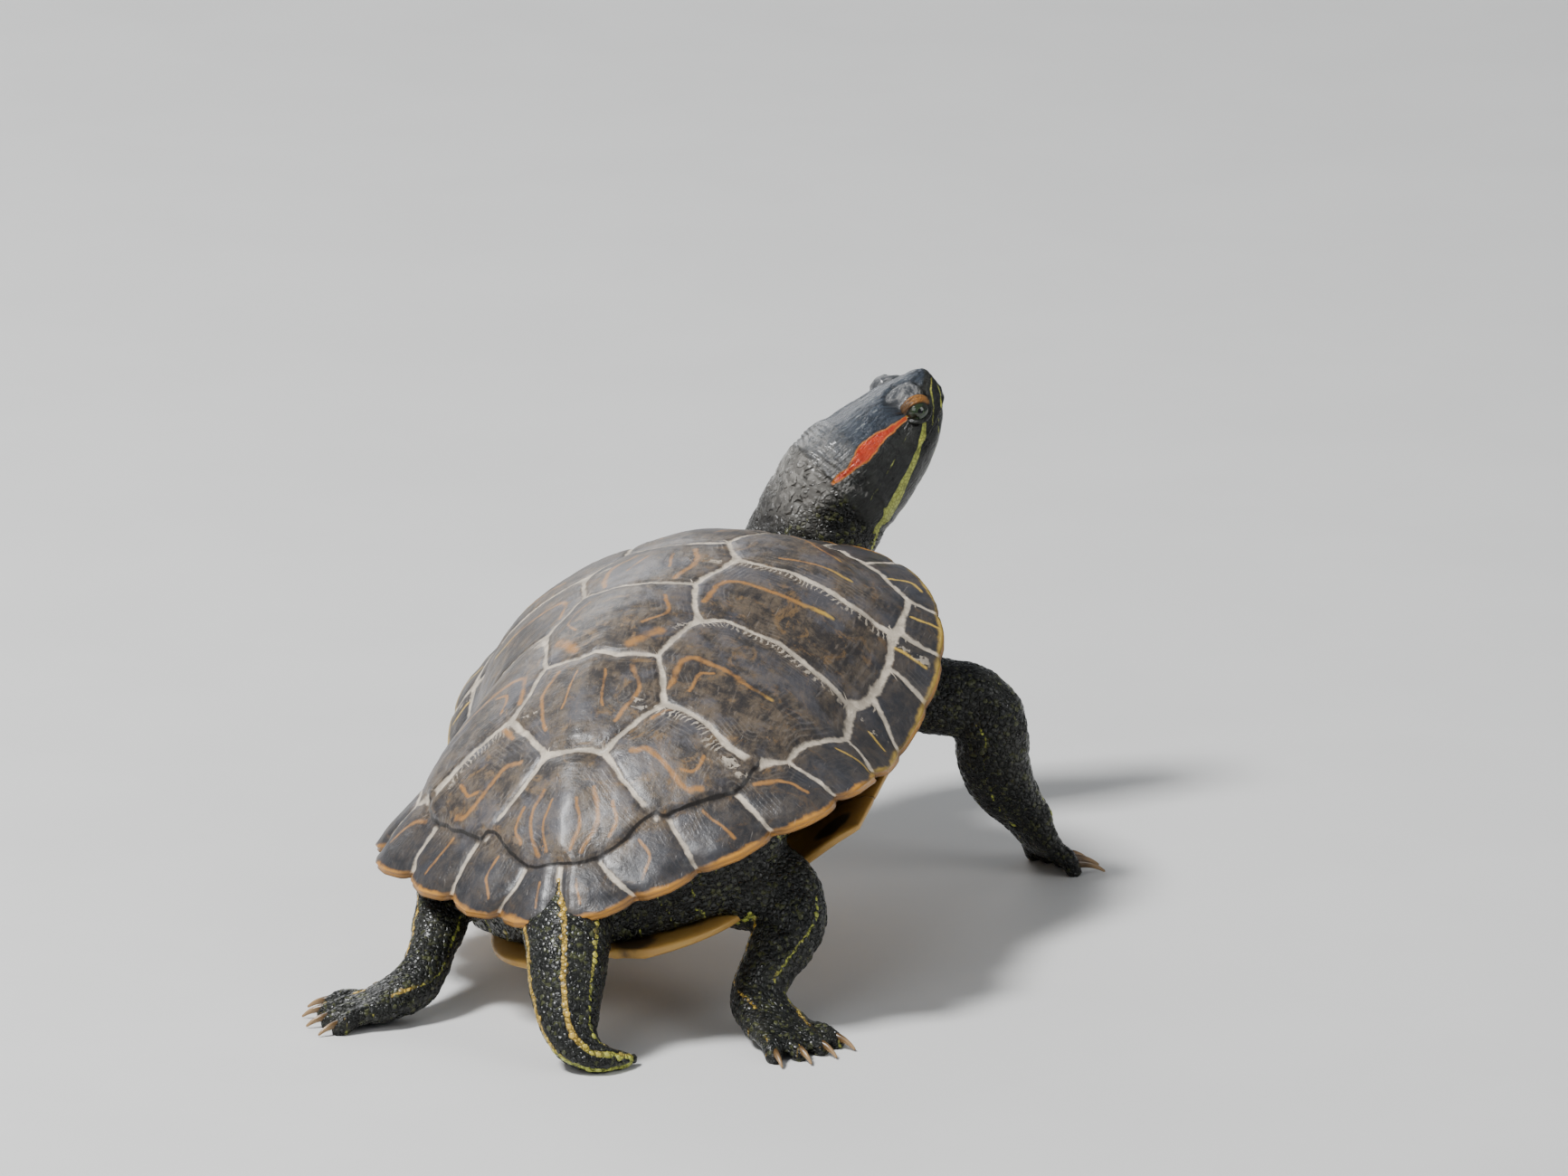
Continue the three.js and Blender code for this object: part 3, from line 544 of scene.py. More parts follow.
# ---- Markings and seams, on one half and mirrored -----------------------------------------------

# Seams of the horn plates in plan, as shares of the shell's length: x from the middle, y from the centre.
VERTEBRAL_EDGE = [
    (0.03, -0.44), (0.11, -0.41), (0.09, -0.33), (0.075, -0.25), (0.107, -0.185), (0.08, -0.086),
    (0.107, 0.007), (0.08, 0.101), (0.108, 0.19), (0.04, 0.272), (0.071, 0.312), (0.095, 0.335),
    (0.114, 0.349),
]
CROSS_SEAMS = [
    [(0.022, -0.52), (0.03, -0.44), (-0.03, -0.44)],
    [(-0.075, -0.25), (0, -0.246), (0.075, -0.25)],
    [(-0.08, -0.086), (0, -0.08), (0.08, -0.086)],
    [(-0.08, 0.101), (-0.03, 0.094), (0.03, 0.106), (0.08, 0.101)],
    [(-0.04, 0.272), (0.04, 0.272)],
]
COSTAL_SEAMS = [
    [(0.107, -0.185), (0.162, -0.184), (0.218, -0.177), (0.25, -0.168), (0.3, -0.168)],
    [(0.107, 0.007), (0.135, -0.016), (0.168, -0.02), (0.203, -0.022), (0.24, -0.012), (0.275, -0.013)],
    [(0.108, 0.19), (0.133, 0.196), (0.163, 0.21), (0.197, 0.236), (0.231, 0.247)],
]
SIDE_SEAM = [
    (0.11, -0.41), (0.174, -0.381), (0.222, -0.334), (0.253, -0.31), (0.296, -0.254), (0.306, -0.181),
    (0.303, -0.116), (0.289, -0.055), (0.275, -0.013), (0.283, 0.03), (0.293, 0.077), (0.264, 0.214),
    (0.231, 0.247),
]
OPEN_SEAM = [(0.231, 0.247), (0.209, 0.29), (0.132, 0.345), (0.114, 0.349), (0.05, 0.411), (-0.01, 0.418)]
MARGINAL_STARTS = [    # the inner ends of the marginals' own seams, from the nuchal back
    (0.06, -0.43), (0.14, -0.397), (0.222, -0.334), (0.296, -0.254), (0.306, -0.181), (0.303, -0.116),
    (0.289, -0.055), (0.293, 0.077), (0.264, 0.214), (0.209, 0.29), (0.132, 0.345), (0.05, 0.411),
    (0, 0.418),
]
# Ochre streaks: half width in millimetres, then the run.
STREAKS = [
    (0.7, [(0.104, -0.049), (0.108, -0.088), (0.127, -0.112), (0.181, -0.115), (0.237, -0.119)]),
    (0.75, [(0.105, 0.154), (0.109, 0.12), (0.12, 0.097), (0.16, 0.097), (0.202, 0.111), (0.222, 0.117)]),
    (0.5, [(0.131, 0.156), (0.136, 0.121), (0.15, 0.112)]),
    (0.8, [(0.083, 0.27), (0.1, 0.267), (0.118, 0.281), (0.135, 0.298), (0.155, 0.31), (0.17, 0.305)]),
    (0.7, [(0.1, 0.218), (0.117, 0.2)]),
    (0.5, [(0.17, 0.262), (0.158, 0.284), (0.144, 0.287)]),
    (0.55, [(0.155, -0.215), (0.2, -0.222), (0.24, -0.218)]),
    (0.5, [(0.13, -0.33), (0.17, -0.3), (0.21, -0.27)]),
    (0.8, [(0.045, -0.21), (0.063, -0.17), (0.06, -0.128), (0.052, -0.1)]),
    (0.5, [(0.02, -0.19), (0.03, -0.14)]),
    (1.5, [(0.045, 0.082), (0.067, 0.06)]),
    (0.5, [(0.05, 0.04), (0.07, 0.005), (0.055, -0.04)]),
    (0.6, [(0.055, 0.13), (0.07, 0.165), (0.062, 0.2), (0.05, 0.225)]),
    (0.4, [(0.022, 0.14), (0.03, 0.2)]),
    (0.6, [(0.036, 0.33), (0.045, 0.352), (0.043, 0.38), (0.03, 0.402)]),
    (0.45, [(0.018, 0.345), (0.024, 0.375), (0.016, 0.4)]),
    (0.5, [(0.062, 0.345), (0.07, 0.365), (0.062, 0.383)]),
    (0.45, [(0.03, -0.41), (0.05, -0.36), (0.04, -0.3)]),
    (0.6, [(0.234, 0.272), (0.263, 0.256), (0.29, 0.258)]),
    (0.55, [(0.298, 0.13), (0.322, 0.122), (0.335, 0.135)]),
    (0.5, [(0.18, 0.327), (0.196, 0.338), (0.214, 0.352)]),
    (0.5, [(0.262, -0.305), (0.285, -0.318), (0.3, -0.3)]),
    (0.5, [(0.311, -0.221), (0.335, -0.225)]),
    (0.5, [(0.31, -0.15), (0.335, -0.148)]),
    (0.45, [(0.3, 0.01), (0.315, 0.02)]),
    (0.45, [(0.1, 0.385), (0.115, 0.405), (0.108, 0.43)]),
    (0.4, [(0.025, 0.44), (0.03, 0.47)]),
]
# The comb of old growth lies behind these fronts of the costal plates.
COMB_FRONTS = [COSTAL_SEAMS[0], COSTAL_SEAMS[1], COSTAL_SEAMS[2][:4]]

# Stripes of the head: behind the snout, to the side, above the axis, and half width there.
RED_STRIPE = [
    (12.4, 8.9, 3.4, 0.5), (13.6, 9.5, 3.6, 0.8), (17, 10.7, 4.2, 1.05), (21.2, 11.7, 5.0, 1.6), (24, 12.2, 5.0, 2.2),
    (26.3, 12.6, 4.9, 2.3), (28.6, 12.9, 4.7, 1.5), (31.7, 13.3, 4.6, 0.95), (34.5, 13.6, 4.9, 0.85),
    (37.2, 13.8, 5.2, 0.7), (39.4, 13.9, 5.7, 0.2),
]
JAW_STRIPE = [
    (8.5, 7.4, -2.2, 0.55), (10.6, 8.2, -3.8, 0.8), (13.5, 9.3, -5.3, 0.85), (16.6, 10.2, -6.6, 0.9),
    (19.9, 10.8, -7.9, 1.0), (22.8, 11.1, -9.0, 1.3), (26.5, 11.0, -10.7, 1.75), (30.3, 10.5, -12.5, 2.0),
    (33.7, 10.2, -13.6, 1.4), (36.5, 10, -14.4, 0.6),
]
FINE_STRIPES = [
    [(-1.1, 2.1, 3.8, 0.1), (1.2, 3.6, 2.1, 0.13), (3.7, 5.0, -1.6, 0.15), (7.1, 6.3, -4.2, 0.12)],
    [(-1.2, 2.3, 1.5, 0.06), (0.1, 3.0, -1.3, 0.1), (3.8, 4.2, -4.5, 0.14), (7.2, 4.6, -7.8, 0.16)],
    [(2, 2.5, -5.5, 0.22), (7, 3.6, -9.3, 0.35), (13, 4.6, -12.2, 0.45), (20, 5.2, -14.6, 0.5), (28, 5.0, -16.6, 0.5)],
    [(12, 9.3, 0.3, -0.1), (18, 11.8, -1.3, 0.0), (26, 13.2, -3.6, 0.02), (34, 13.9, -5.6, 0.05)],
]
# Pale lines along limbs and tail: angle round the limb in degrees, half width, first and last station.
LIMB_LINES = {
    "arm_right": [(165, 0.55, 3, 8.2), (20, 0.3, 2, 7), (255, 0.3, 2.5, 7)],
    "arm_left": [(15, 0.55, 3, 8.2), (160, 0.3, 2, 7), (255, 0.3, 2.5, 7)],
    "leg_right": [(150, 0.35, 2.5, 7), (205, 0.45, 4.5, 7), (40, 0.3, 2, 6)],
    "leg_left": [(150, 0.3, 2, 6), (30, 0.35, 2.5, 7), (250, 0.3, 2, 6)],
    "tail": [(98, 0.75, 0.5, 6.7), (24, 0.7, 0.5, 6.7), (150, 0.3, 0.5, 6), (270, 0.6, 0.5, 6)],
}


def marginal_seams():
    """The seams between the marginals, from the costals out past the rim."""
    lines = []
    for share, start in zip(MARGINAL_SEAMS, MARGINAL_STARTS):
        rim = shell_points(np.array([1.0]), np.array([rim_angle(share * SHELL_LENGTH)]))[0, :2]
        outer = rim / SHELL_LENGTH
        lines.append([start, tuple(outer), tuple(outer * 1.05)])
    return lines


def seam_wander(plan):
    """Plan points shifted a little, so that seams and streaks wander as grown ones do."""
    sideways = cheap_noise(plan, 34, SEED) * 0.55 + cheap_noise(plan, 9, SEED + 1) * 0.2
    endways = cheap_noise(plan, 31, SEED + 2) * 0.55 + cheap_noise(plan, 8, SEED + 3) * 0.2
    return plan + np.stack([sideways, endways], -1)


def widths_along(points, run):
    """Signed distance from points to a run of (x, y, z, half width) stations: below nought inside it."""
    best = np.full(len(points), 1e9)
    run = np.asarray(run, float)
    for a, b in zip(run[:-1], run[1:]):
        step = b[:3] - a[:3]
        t = np.clip((points - a[:3]) @ step / (step @ step), 0, 1)
        d = np.linalg.norm(points - a[:3] - t[:, None] * step, axis=1)
        best = np.minimum(best, d - (a[3] + (b[3] - a[3]) * t))
    return best


# ---- Making objects -----------------------------------------------------------------------------

def make_object(name, points, faces, attributes=None):
    """A mesh object from floor-frame millimetres, with smooth faces and named point attributes."""
    mesh = bpy.data.meshes.new(name)
    placed = (np.asarray(points, float) + OFFSET) * MM
    mesh.from_pydata(placed.tolist(), [], faces)
    for key, values in (attributes or {}).items():
        add_attribute(mesh, key, values)
    mesh.shade_smooth()
    mesh.validate()
    made = bpy.data.objects.new(name, mesh)
    bpy.context.scene.collection.objects.link(made)
    return made


def add_attribute(mesh, key, values):
    """One float or vector attribute on the mesh's points."""
    values = np.asarray(values, float)
    kind = "FLOAT" if values.ndim == 1 else "FLOAT_VECTOR"
    layer = mesh.attributes.get(key) or mesh.attributes.new(key, kind, "POINT")
    layer.data.foreach_set("value" if values.ndim == 1 else "vector", values.astype(np.float32).ravel())


def mesh_points(mesh):
    """The mesh's vertices as an array."""
    flat = np.empty(len(mesh.vertices) * 3, np.float32)
    mesh.vertices.foreach_get("co", flat)
    return flat.reshape(-1, 3).astype(float)


def mesh_normals(mesh):
    """The mesh's vertex normals as an array."""
    flat = np.empty(len(mesh.vertices) * 3, np.float32)
    mesh.vertices.foreach_get("normal", flat)
    return flat.reshape(-1, 3).astype(float)


def finish_piece(piece, slot, nodes, material):
    """Gives a finished piece its material, its body, its slot and the solids it stands for."""
    piece.data.materials.clear()
    piece.data.materials.append(material)
    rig.ride(piece, "root")
    if nodes:
        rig.replaces(piece, *nodes)
    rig.slot(piece, slot)
    return piece


# ---- Materials ----------------------------------------------------------------------------------

class Tree:
    """A node tree being filled, with short calls for the nodes that the materials use most."""

    def __init__(self, tree):
        self.tree = tree

    def add(self, kind, inputs=None, **settings):
        """One node, its settings, and its inputs given as values or as other nodes' sockets."""
        node = self.tree.nodes.new(kind)
        for key, value in settings.items():
            setattr(node, key, value)
        for key, value in (inputs or {}).items():
            self.feed(node.inputs[key], value)
        return node

    def feed(self, socket, value):
        """Sets a socket, or links another to it."""
        if isinstance(value, bpy.types.NodeSocket):
            self.tree.links.new(value, socket)
        else:
            socket.default_value = value

    def maths(self, operation, *values, clamp=False):
        """A number worked out from others."""
        node = self.add("ShaderNodeMath", dict(enumerate(values)), operation=operation, use_clamp=clamp)
        return node.outputs[0]

    def step(self, value, low, high):
        """A smooth step from 0 to 1, or from 1 to 0 where low is above high."""
        down = low > high
        ends = {"From Min": min(low, high), "From Max": max(low, high), "To Min": float(down),
                "To Max": float(not down), "Value": value}
        return self.add("ShaderNodeMapRange", ends, interpolation_type="SMOOTHSTEP").outputs["Result"]

    def blend(self, share, low, high, mode="MIX"):
        """A colour between two."""
        colours = [v if isinstance(v, bpy.types.NodeSocket) else (*v, 1.0) for v in (low, high)]
        inputs = {0: share, 6: colours[0], 7: colours[1]}
        return self.add("ShaderNodeMix", inputs, data_type="RGBA", blend_type=mode).outputs[2]

    def value(self, name, output="Fac"):
        """A named attribute of the mesh."""
        return self.add("ShaderNodeAttribute", attribute_name=name).outputs[output]

    def noise(self, vector, size, detail=3.0, rough=0.55, warp=0.0):
        """Noise with features of a size in millimetres, from about 0.2 to 0.8."""
        inputs = {"Vector": vector, "Scale": 1000.0 / size, "Detail": detail, "Roughness": rough, "Distortion": warp}
        return self.add("ShaderNodeTexNoise", inputs).outputs["Fac"]

    def place(self):
        """Object coordinates."""
        return self.add("ShaderNodeTexCoord").outputs["Object"]

    def group(self, name, inputs=None):
        """One of the shared groups."""
        node = self.add("ShaderNodeGroup", node_tree=bpy.data.node_groups[name])
        for key, value in (inputs or {}).items():
            self.feed(node.inputs[key], value)
        return node

    def relief(self, height, depth, strength=1.0, normal=None):
        """A bump whose height of one stands for a depth in millimetres."""
        inputs = {"Height": height, "Distance": depth * MM, "Strength": strength}
        if normal is not None:
            inputs["Normal"] = normal
        return self.add("ShaderNodeBump", inputs).outputs["Normal"]


def shader_group(name, inputs, outputs):
    """An empty shader group with named inputs and outputs, and the two nodes that carry them."""
    tree = bpy.data.node_groups.new(name, "ShaderNodeTree")
    for key, kind, value in inputs:
        socket = tree.interface.new_socket(key, in_out="INPUT", socket_type=kind)
        if value is not None:
            socket.default_value = value
    for key, kind in outputs:
        tree.interface.new_socket(key, in_out="OUTPUT", socket_type=kind)
    t = Tree(tree)
    return t, t.add("NodeGroupInput").outputs, t.add("NodeGroupOutput").inputs


def group_band():
    """A band round nought of a distance: one inside the half width, with soft, slightly ragged sides."""
    inputs = [("Distance", "NodeSocketFloat", 0.0), ("Half Width", "NodeSocketFloat", 0.5),
              ("Softness", "NodeSocketFloat", 0.2), ("Ragged", "NodeSocketFloat", 0.2)]
    t, given, made = shader_group("Band", inputs, [("Mask", "NodeSocketFloat")])
    ragged = t.maths("MULTIPLY", t.maths("SUBTRACT", t.noise(t.place(), 1.7), 0.5), given["Ragged"])
    off = t.maths("ADD", t.maths("ABSOLUTE", given["Distance"]), ragged)
    beyond = t.maths("DIVIDE", t.maths("SUBTRACT", off, given["Half Width"]), given["Softness"])
    t.feed(made["Mask"], t.step(beyond, 1.0, -1.0))


def group_horn():
    """Worn horn: fine scratches, pits and a slow change of shade."""
    outputs = [("Height", "NodeSocketFloat"), ("Shade", "NodeSocketFloat"), ("Wear", "NodeSocketFloat")]
    t, given, made = shader_group("Horn Wear", [("Size", "NodeSocketFloat", 1.0)], outputs)
    spot = t.add("ShaderNodeVectorMath", {0: t.place(), "Scale": given["Size"]}, operation="SCALE").outputs[0]
    fine = t.noise(spot, 0.7, 4.0, 0.65)
    slow = t.noise(spot, 17, 4.0, 0.6, 0.6)
    scratches = []
    for turn, lean in ((0.5, 9.0), (2.1, 7.0), (1.2, 11.0)):
        mapping = {"Vector": spot, "Rotation": (0.3 * turn, 0.2, turn), "Scale": (lean, 0.5, 2.0)}
        drawn = t.add("ShaderNodeMapping", mapping).outputs[0]
        scratches.append(t.step(t.noise(drawn, 6.0, 2.0, 0.5, 0.4), 0.72, 0.78))
    scratch = t.maths("MAXIMUM", t.maths("MAXIMUM", scratches[0], scratches[1]), scratches[2])
    pits = t.step(t.noise(spot, 2.4, 2.0, 0.5), 0.66, 0.74)
    height = t.maths("SUBTRACT", t.maths("MULTIPLY", fine, 0.5), t.maths("MULTIPLY", pits, 0.6))
    t.feed(made["Height"], t.maths("SUBTRACT", height, t.maths("MULTIPLY", scratch, 0.35)))
    t.feed(made["Shade"], slow)
    t.feed(made["Wear"], t.maths("MAXIMUM", scratch, t.step(fine, 0.66, 0.8)))


def group_scales():
    """A pavement of small scales: domed cells with dark creases between them."""
    inputs = [("Size", "NodeSocketFloat", 1.0), ("Crease", "NodeSocketFloat", 0.12)]
    outputs = [("Height", "NodeSocketFloat"), ("Crease", "NodeSocketFloat"), ("Tone", "NodeSocketFloat")]
    t, given, made = shader_group("Scale Pavement", inputs, outputs)
    wobble = t.add("ShaderNodeTexNoise", {"Vector": t.place(), "Scale": 420.0, "Detail": 1.0}).outputs["Color"]
    shift = t.add("ShaderNodeVectorMath", {0: wobble, "Scale": 0.0011}, operation="SCALE").outputs[0]
    spot = t.add("ShaderNodeVectorMath", {0: t.place(), 1: shift}, operation="ADD").outputs[0]
    scale = t.maths("DIVIDE", 1000.0, given["Size"])
    cells = t.add("ShaderNodeTexVoronoi", {"Vector": spot, "Scale": scale, "Randomness": 0.75})
    edge = {"Vector": spot, "Scale": scale, "Randomness": 0.75}
    edges = t.add("ShaderNodeTexVoronoi", edge, feature="DISTANCE_TO_EDGE").outputs["Distance"]
    crease = t.add("ShaderNodeMapRange", {"Value": edges, "From Min": 0.0, "From Max": given["Crease"],
                                          "To Min": 1.0, "To Max": 0.0}).outputs["Result"]
    t.feed(made["Height"], t.step(edges, 0.0, 0.34))
    t.feed(made["Crease"], crease)
    tone = t.add("ShaderNodeSeparateColor", {0: cells.outputs["Color"]}).outputs[0]
    t.feed(made["Tone"], tone)


def material(name):
    """A material with a Principled shader, its tree and that shader's inputs."""
    made = bpy.data.materials.new(name)
    made.use_nodes = True
    t = Tree(made.node_tree)
    return made, t, made.node_tree.nodes["Principled BSDF"].inputs


# Colours, as linear red, green and blue.
HORN_DARK = (0.03, 0.026, 0.024)
HORN_BROWN = (0.105, 0.08, 0.056)
HORN_OCHRE = (0.2, 0.12, 0.05)
HORN_PALE = (0.3, 0.27, 0.24)
SEAM_CREAM = (0.6, 0.52, 0.41)
STREAK_ORANGE = (0.33, 0.16, 0.045)
STREAK_YELLOW = (0.55, 0.36, 0.06)
RIM_ORANGE = (0.56, 0.25, 0.03)
PLASTRON_YELLOW = (0.5, 0.32, 0.08)
SKIN_BLACK = (0.006, 0.0062, 0.0055)
SKIN_GREY = (0.022, 0.024, 0.022)
CROWN_SHEEN_GREY = (0.04, 0.05, 0.066)
CROWN_GLINT = (0.3, 0.32, 0.31)
NAPE_GREY = (0.036, 0.033, 0.031)
FOLD_HIGHLIGHT = (0.24, 0.23, 0.21)
LID_BROWN = (0.11, 0.06, 0.028)
LID_ORANGE = (0.36, 0.15, 0.03)
STRIPE_GREEN = (0.46, 0.5, 0.09)
STRIPE_RED = (0.56, 0.06, 0.018)
STRIPE_AMBER = (0.6, 0.33, 0.05)
CLAW_BROWN = (0.08, 0.045, 0.018)
CLAW_AMBER = (0.3, 0.19, 0.09)
IRIS_GREEN = (0.014, 0.028, 0.013)
FLOOR_GREY = (0.62, 0.62, 0.61)


def material_carapace():
    """Dark worn horn with cream seams, ochre streaks, growth rings, and a yellow rim."""
    made, t, shader = material("carapace horn")
    horn = t.group("Horn Wear").outputs
    seam, side = t.value("seam"), t.value("seam_side")
    near = t.step(seam, 2.2, 1.4)
    line = t.maths("MULTIPLY", t.group("Band", {"Distance": side, "Half Width": t.value("seam_width"),
                                               "Softness": 0.28, "Ragged": 0.9}).outputs["Mask"], near)
    inner = t.step(t.value("open_side"), 0.1, -0.1)
    line = t.maths("MULTIPLY", line, t.step(t.maths("MULTIPLY_ADD", inner, -1.4, t.value("open")), 0.5, 1.3))
    rings = t.maths("SINE", t.maths("ADD", t.maths("MULTIPLY", seam, 5.2), t.maths("MULTIPLY", horn["Shade"], 9.0)))
    patchy = t.step(t.noise(t.place(), 7, 4.0, 0.6), 0.42, 0.66)
    ring_share = t.maths("MULTIPLY", t.maths("MULTIPLY", t.step(seam, 18, 2), t.step(rings, 0.0, 1.0)), patchy)
    comb = t.value("comb", "Vector")
    parts = t.add("ShaderNodeSeparateXYZ", {0: comb}).outputs
    teeth = t.maths("SINE", t.maths("ADD", t.maths("MULTIPLY", parts[0], 4.83), t.maths("MULTIPLY", t.noise(t.place(), 8, 4.0, 0.7), 22.0)))
    reach = t.maths("ADD", 2.2, t.maths("MULTIPLY", t.noise(t.place(), 9), 4.5))
    band = t.maths("MULTIPLY", t.step(parts[1], 0.6, 1.2), t.step(t.maths("SUBTRACT", reach, parts[1]), 0.0, 1.2))
    hatch = t.maths("MULTIPLY", t.maths("MULTIPLY", t.step(teeth, 0.2, 0.9), band), parts[2])
    colour = t.blend(t.step(t.noise(t.place(), 6, 6.0, 0.72), 0.4, 0.62), HORN_DARK, HORN_BROWN)
    ochre_patch = t.step(t.noise(t.place(), 9, 6.0, 0.72, 1.5), 0.54, 0.66)
    colour = t.blend(t.maths("MULTIPLY", ochre_patch, 0.6), colour, HORN_OCHRE)
    drawn = t.add("ShaderNodeMapping", {"Vector": t.place(), "Scale": (1.1, 0.16, 0.5)}).outputs[0]
    growth = t.noise(drawn, 1.1, 4.0, 0.65)
    colour = t.blend(t.maths("MULTIPLY", t.step(growth, 0.52, 0.66), 0.55), colour, (0.02, 0.018, 0.02))
    colour = t.blend(t.maths("MULTIPLY", t.step(growth, 0.42, 0.3), 0.45), colour, (0.17, 0.14, 0.115))
    blotch = t.step(t.noise(t.place(), 16, 6.0, 0.7), 0.48, 0.62)
    colour = t.blend(t.maths("MULTIPLY", blotch, 0.45), colour, (0.1, 0.1, 0.115))
    colour = t.blend(t.maths("MULTIPLY", ring_share, 0.16), colour, HORN_PALE)
    border = t.step(t.value("rim"), 0.8, 0.88)
    colour = t.blend(t.maths("MULTIPLY", border, 0.62), colour, (0.018, 0.02, 0.025))
    colour = t.blend(t.maths("MULTIPLY", hatch, t.maths("MULTIPLY", t.noise(t.place(), 7), 0.9)), colour, SEAM_CREAM)
    streak_near = t.step(t.value("streak_far"), 2.2, 1.2)
    streak = t.maths("MULTIPLY", t.group("Band", {"Distance": t.value("streak_side"), "Half Width": 0.75,
                                                 "Softness": 0.6, "Ragged": 1.4}).outputs["Mask"], streak_near)
    broken = t.step(t.noise(t.place(), 6, 3.0), 0.3, 0.5)
    ochre = t.blend(t.value("gild"), STREAK_ORANGE, STREAK_YELLOW)
    colour = t.blend(t.maths("MULTIPLY", streak, t.maths("MULTIPLY_ADD", broken, 0.55, 0.25)), colour, ochre)
    colour = t.blend(t.maths("MULTIPLY", horn["Wear"], 0.25), colour, HORN_PALE)
    cream = t.blend(t.step(t.noise(t.place(), 4, 4.0, 0.65), 0.4, 0.65), tuple(v * 0.62 for v in SEAM_CREAM), SEAM_CREAM)
    colour = t.blend(t.maths("MULTIPLY", line, 0.88), colour, cream)
    # Painted shadow in the open seam, under the raised edge of the plates that overhang the marginals.
    dark = t.maths("MULTIPLY", t.step(t.maths("ABSOLUTE", t.value("open_side")), 0.5, 0.2), t.step(t.value("open"), 1.6, 0.8))
    colour = t.blend(t.maths("MULTIPLY", dark, 0.92), colour, (0.008, 0.006, 0.005))
    edge = t.step(t.maths("ADD", t.value("rim"), t.maths("MULTIPLY", t.maths("SUBTRACT", t.noise(t.place(), 9, 4.0, 0.6), 0.5), 0.05)),
                  0.985, 1.0)
    colour = t.blend(t.maths("MULTIPLY", edge, t.value("rim_gild")), colour, t.blend(t.value("gild"), RIM_ORANGE, STREAK_YELLOW))
    t.feed(shader["Base Color"], colour)
    rough = t.maths("ADD", 0.4, t.maths("MULTIPLY", horn["Wear"], 0.15))
    rough = t.maths("ADD", rough, t.maths("MULTIPLY", t.maths("MAXIMUM", line, hatch), 0.2))
    t.feed(shader["Roughness"], t.maths("ADD", rough, t.maths("MULTIPLY", t.maths("SUBTRACT", horn["Shade"], 0.5), 0.3)))
    shader["Specular IOR Level"].default_value = 0.42
    shader["Coat Weight"].default_value = 0.08
    shader["Coat Roughness"].default_value = 0.2
    height = t.maths("SUBTRACT", t.maths("MULTIPLY", ring_share, 0.12), t.maths("MULTIPLY", line, 0.4))
    height = t.maths("ADD", height, t.maths("MULTIPLY", hatch, 0.4))
    height = t.maths("ADD", height, t.maths("MULTIPLY", t.noise(t.place(), 3.2, 5.0, 0.65), 1.1))
    normal = t.relief(height, 0.22)
    t.feed(shader["Normal"], t.relief(horn["Height"], 0.07, 1.0, normal))
    return made


def material_plastron():
    """Yellow horn with dark, soft-edged figures and brown seams."""
    made, t, shader = material("plastron horn")
    horn = t.group("Horn Wear").outputs
    figure = t.maths("ADD", t.value("figure"), t.maths("MULTIPLY", t.maths("SUBTRACT", t.noise(t.place(), 7, 4.0), 0.5), 7.0))
    colour = t.blend(horn["Shade"], PLASTRON_YELLOW, (0.4, 0.2, 0.05))
    colour = t.blend(t.maths("MULTIPLY", t.step(figure, 1.5, -1.5), 0.9), colour, (0.035, 0.025, 0.017))
    seam = t.group("Band", {"Distance": t.value("seam_side"), "Half Width": 0.35, "Softness": 0.3, "Ragged": 0.5}).outputs["Mask"]
    seam = t.maths("MULTIPLY", seam, t.step(t.value("seam"), 2.0, 1.0))
    colour = t.blend(t.maths("MULTIPLY", seam, 0.8), colour, (0.09, 0.05, 0.02))
    colour = t.blend(t.maths("MULTIPLY", horn["Wear"], 0.2), colour, (0.6, 0.5, 0.3))
    t.feed(shader["Base Color"], colour)
    t.feed(shader["Roughness"], t.maths("ADD", 0.3, t.maths("MULTIPLY", horn["Shade"], 0.25)))
    normal = t.relief(t.maths("SUBTRACT", t.noise(t.place(), 4, 3.0), seam), 0.15)
    t.feed(shader["Normal"], t.relief(horn["Height"], 0.06, 1.0, normal))
    return made


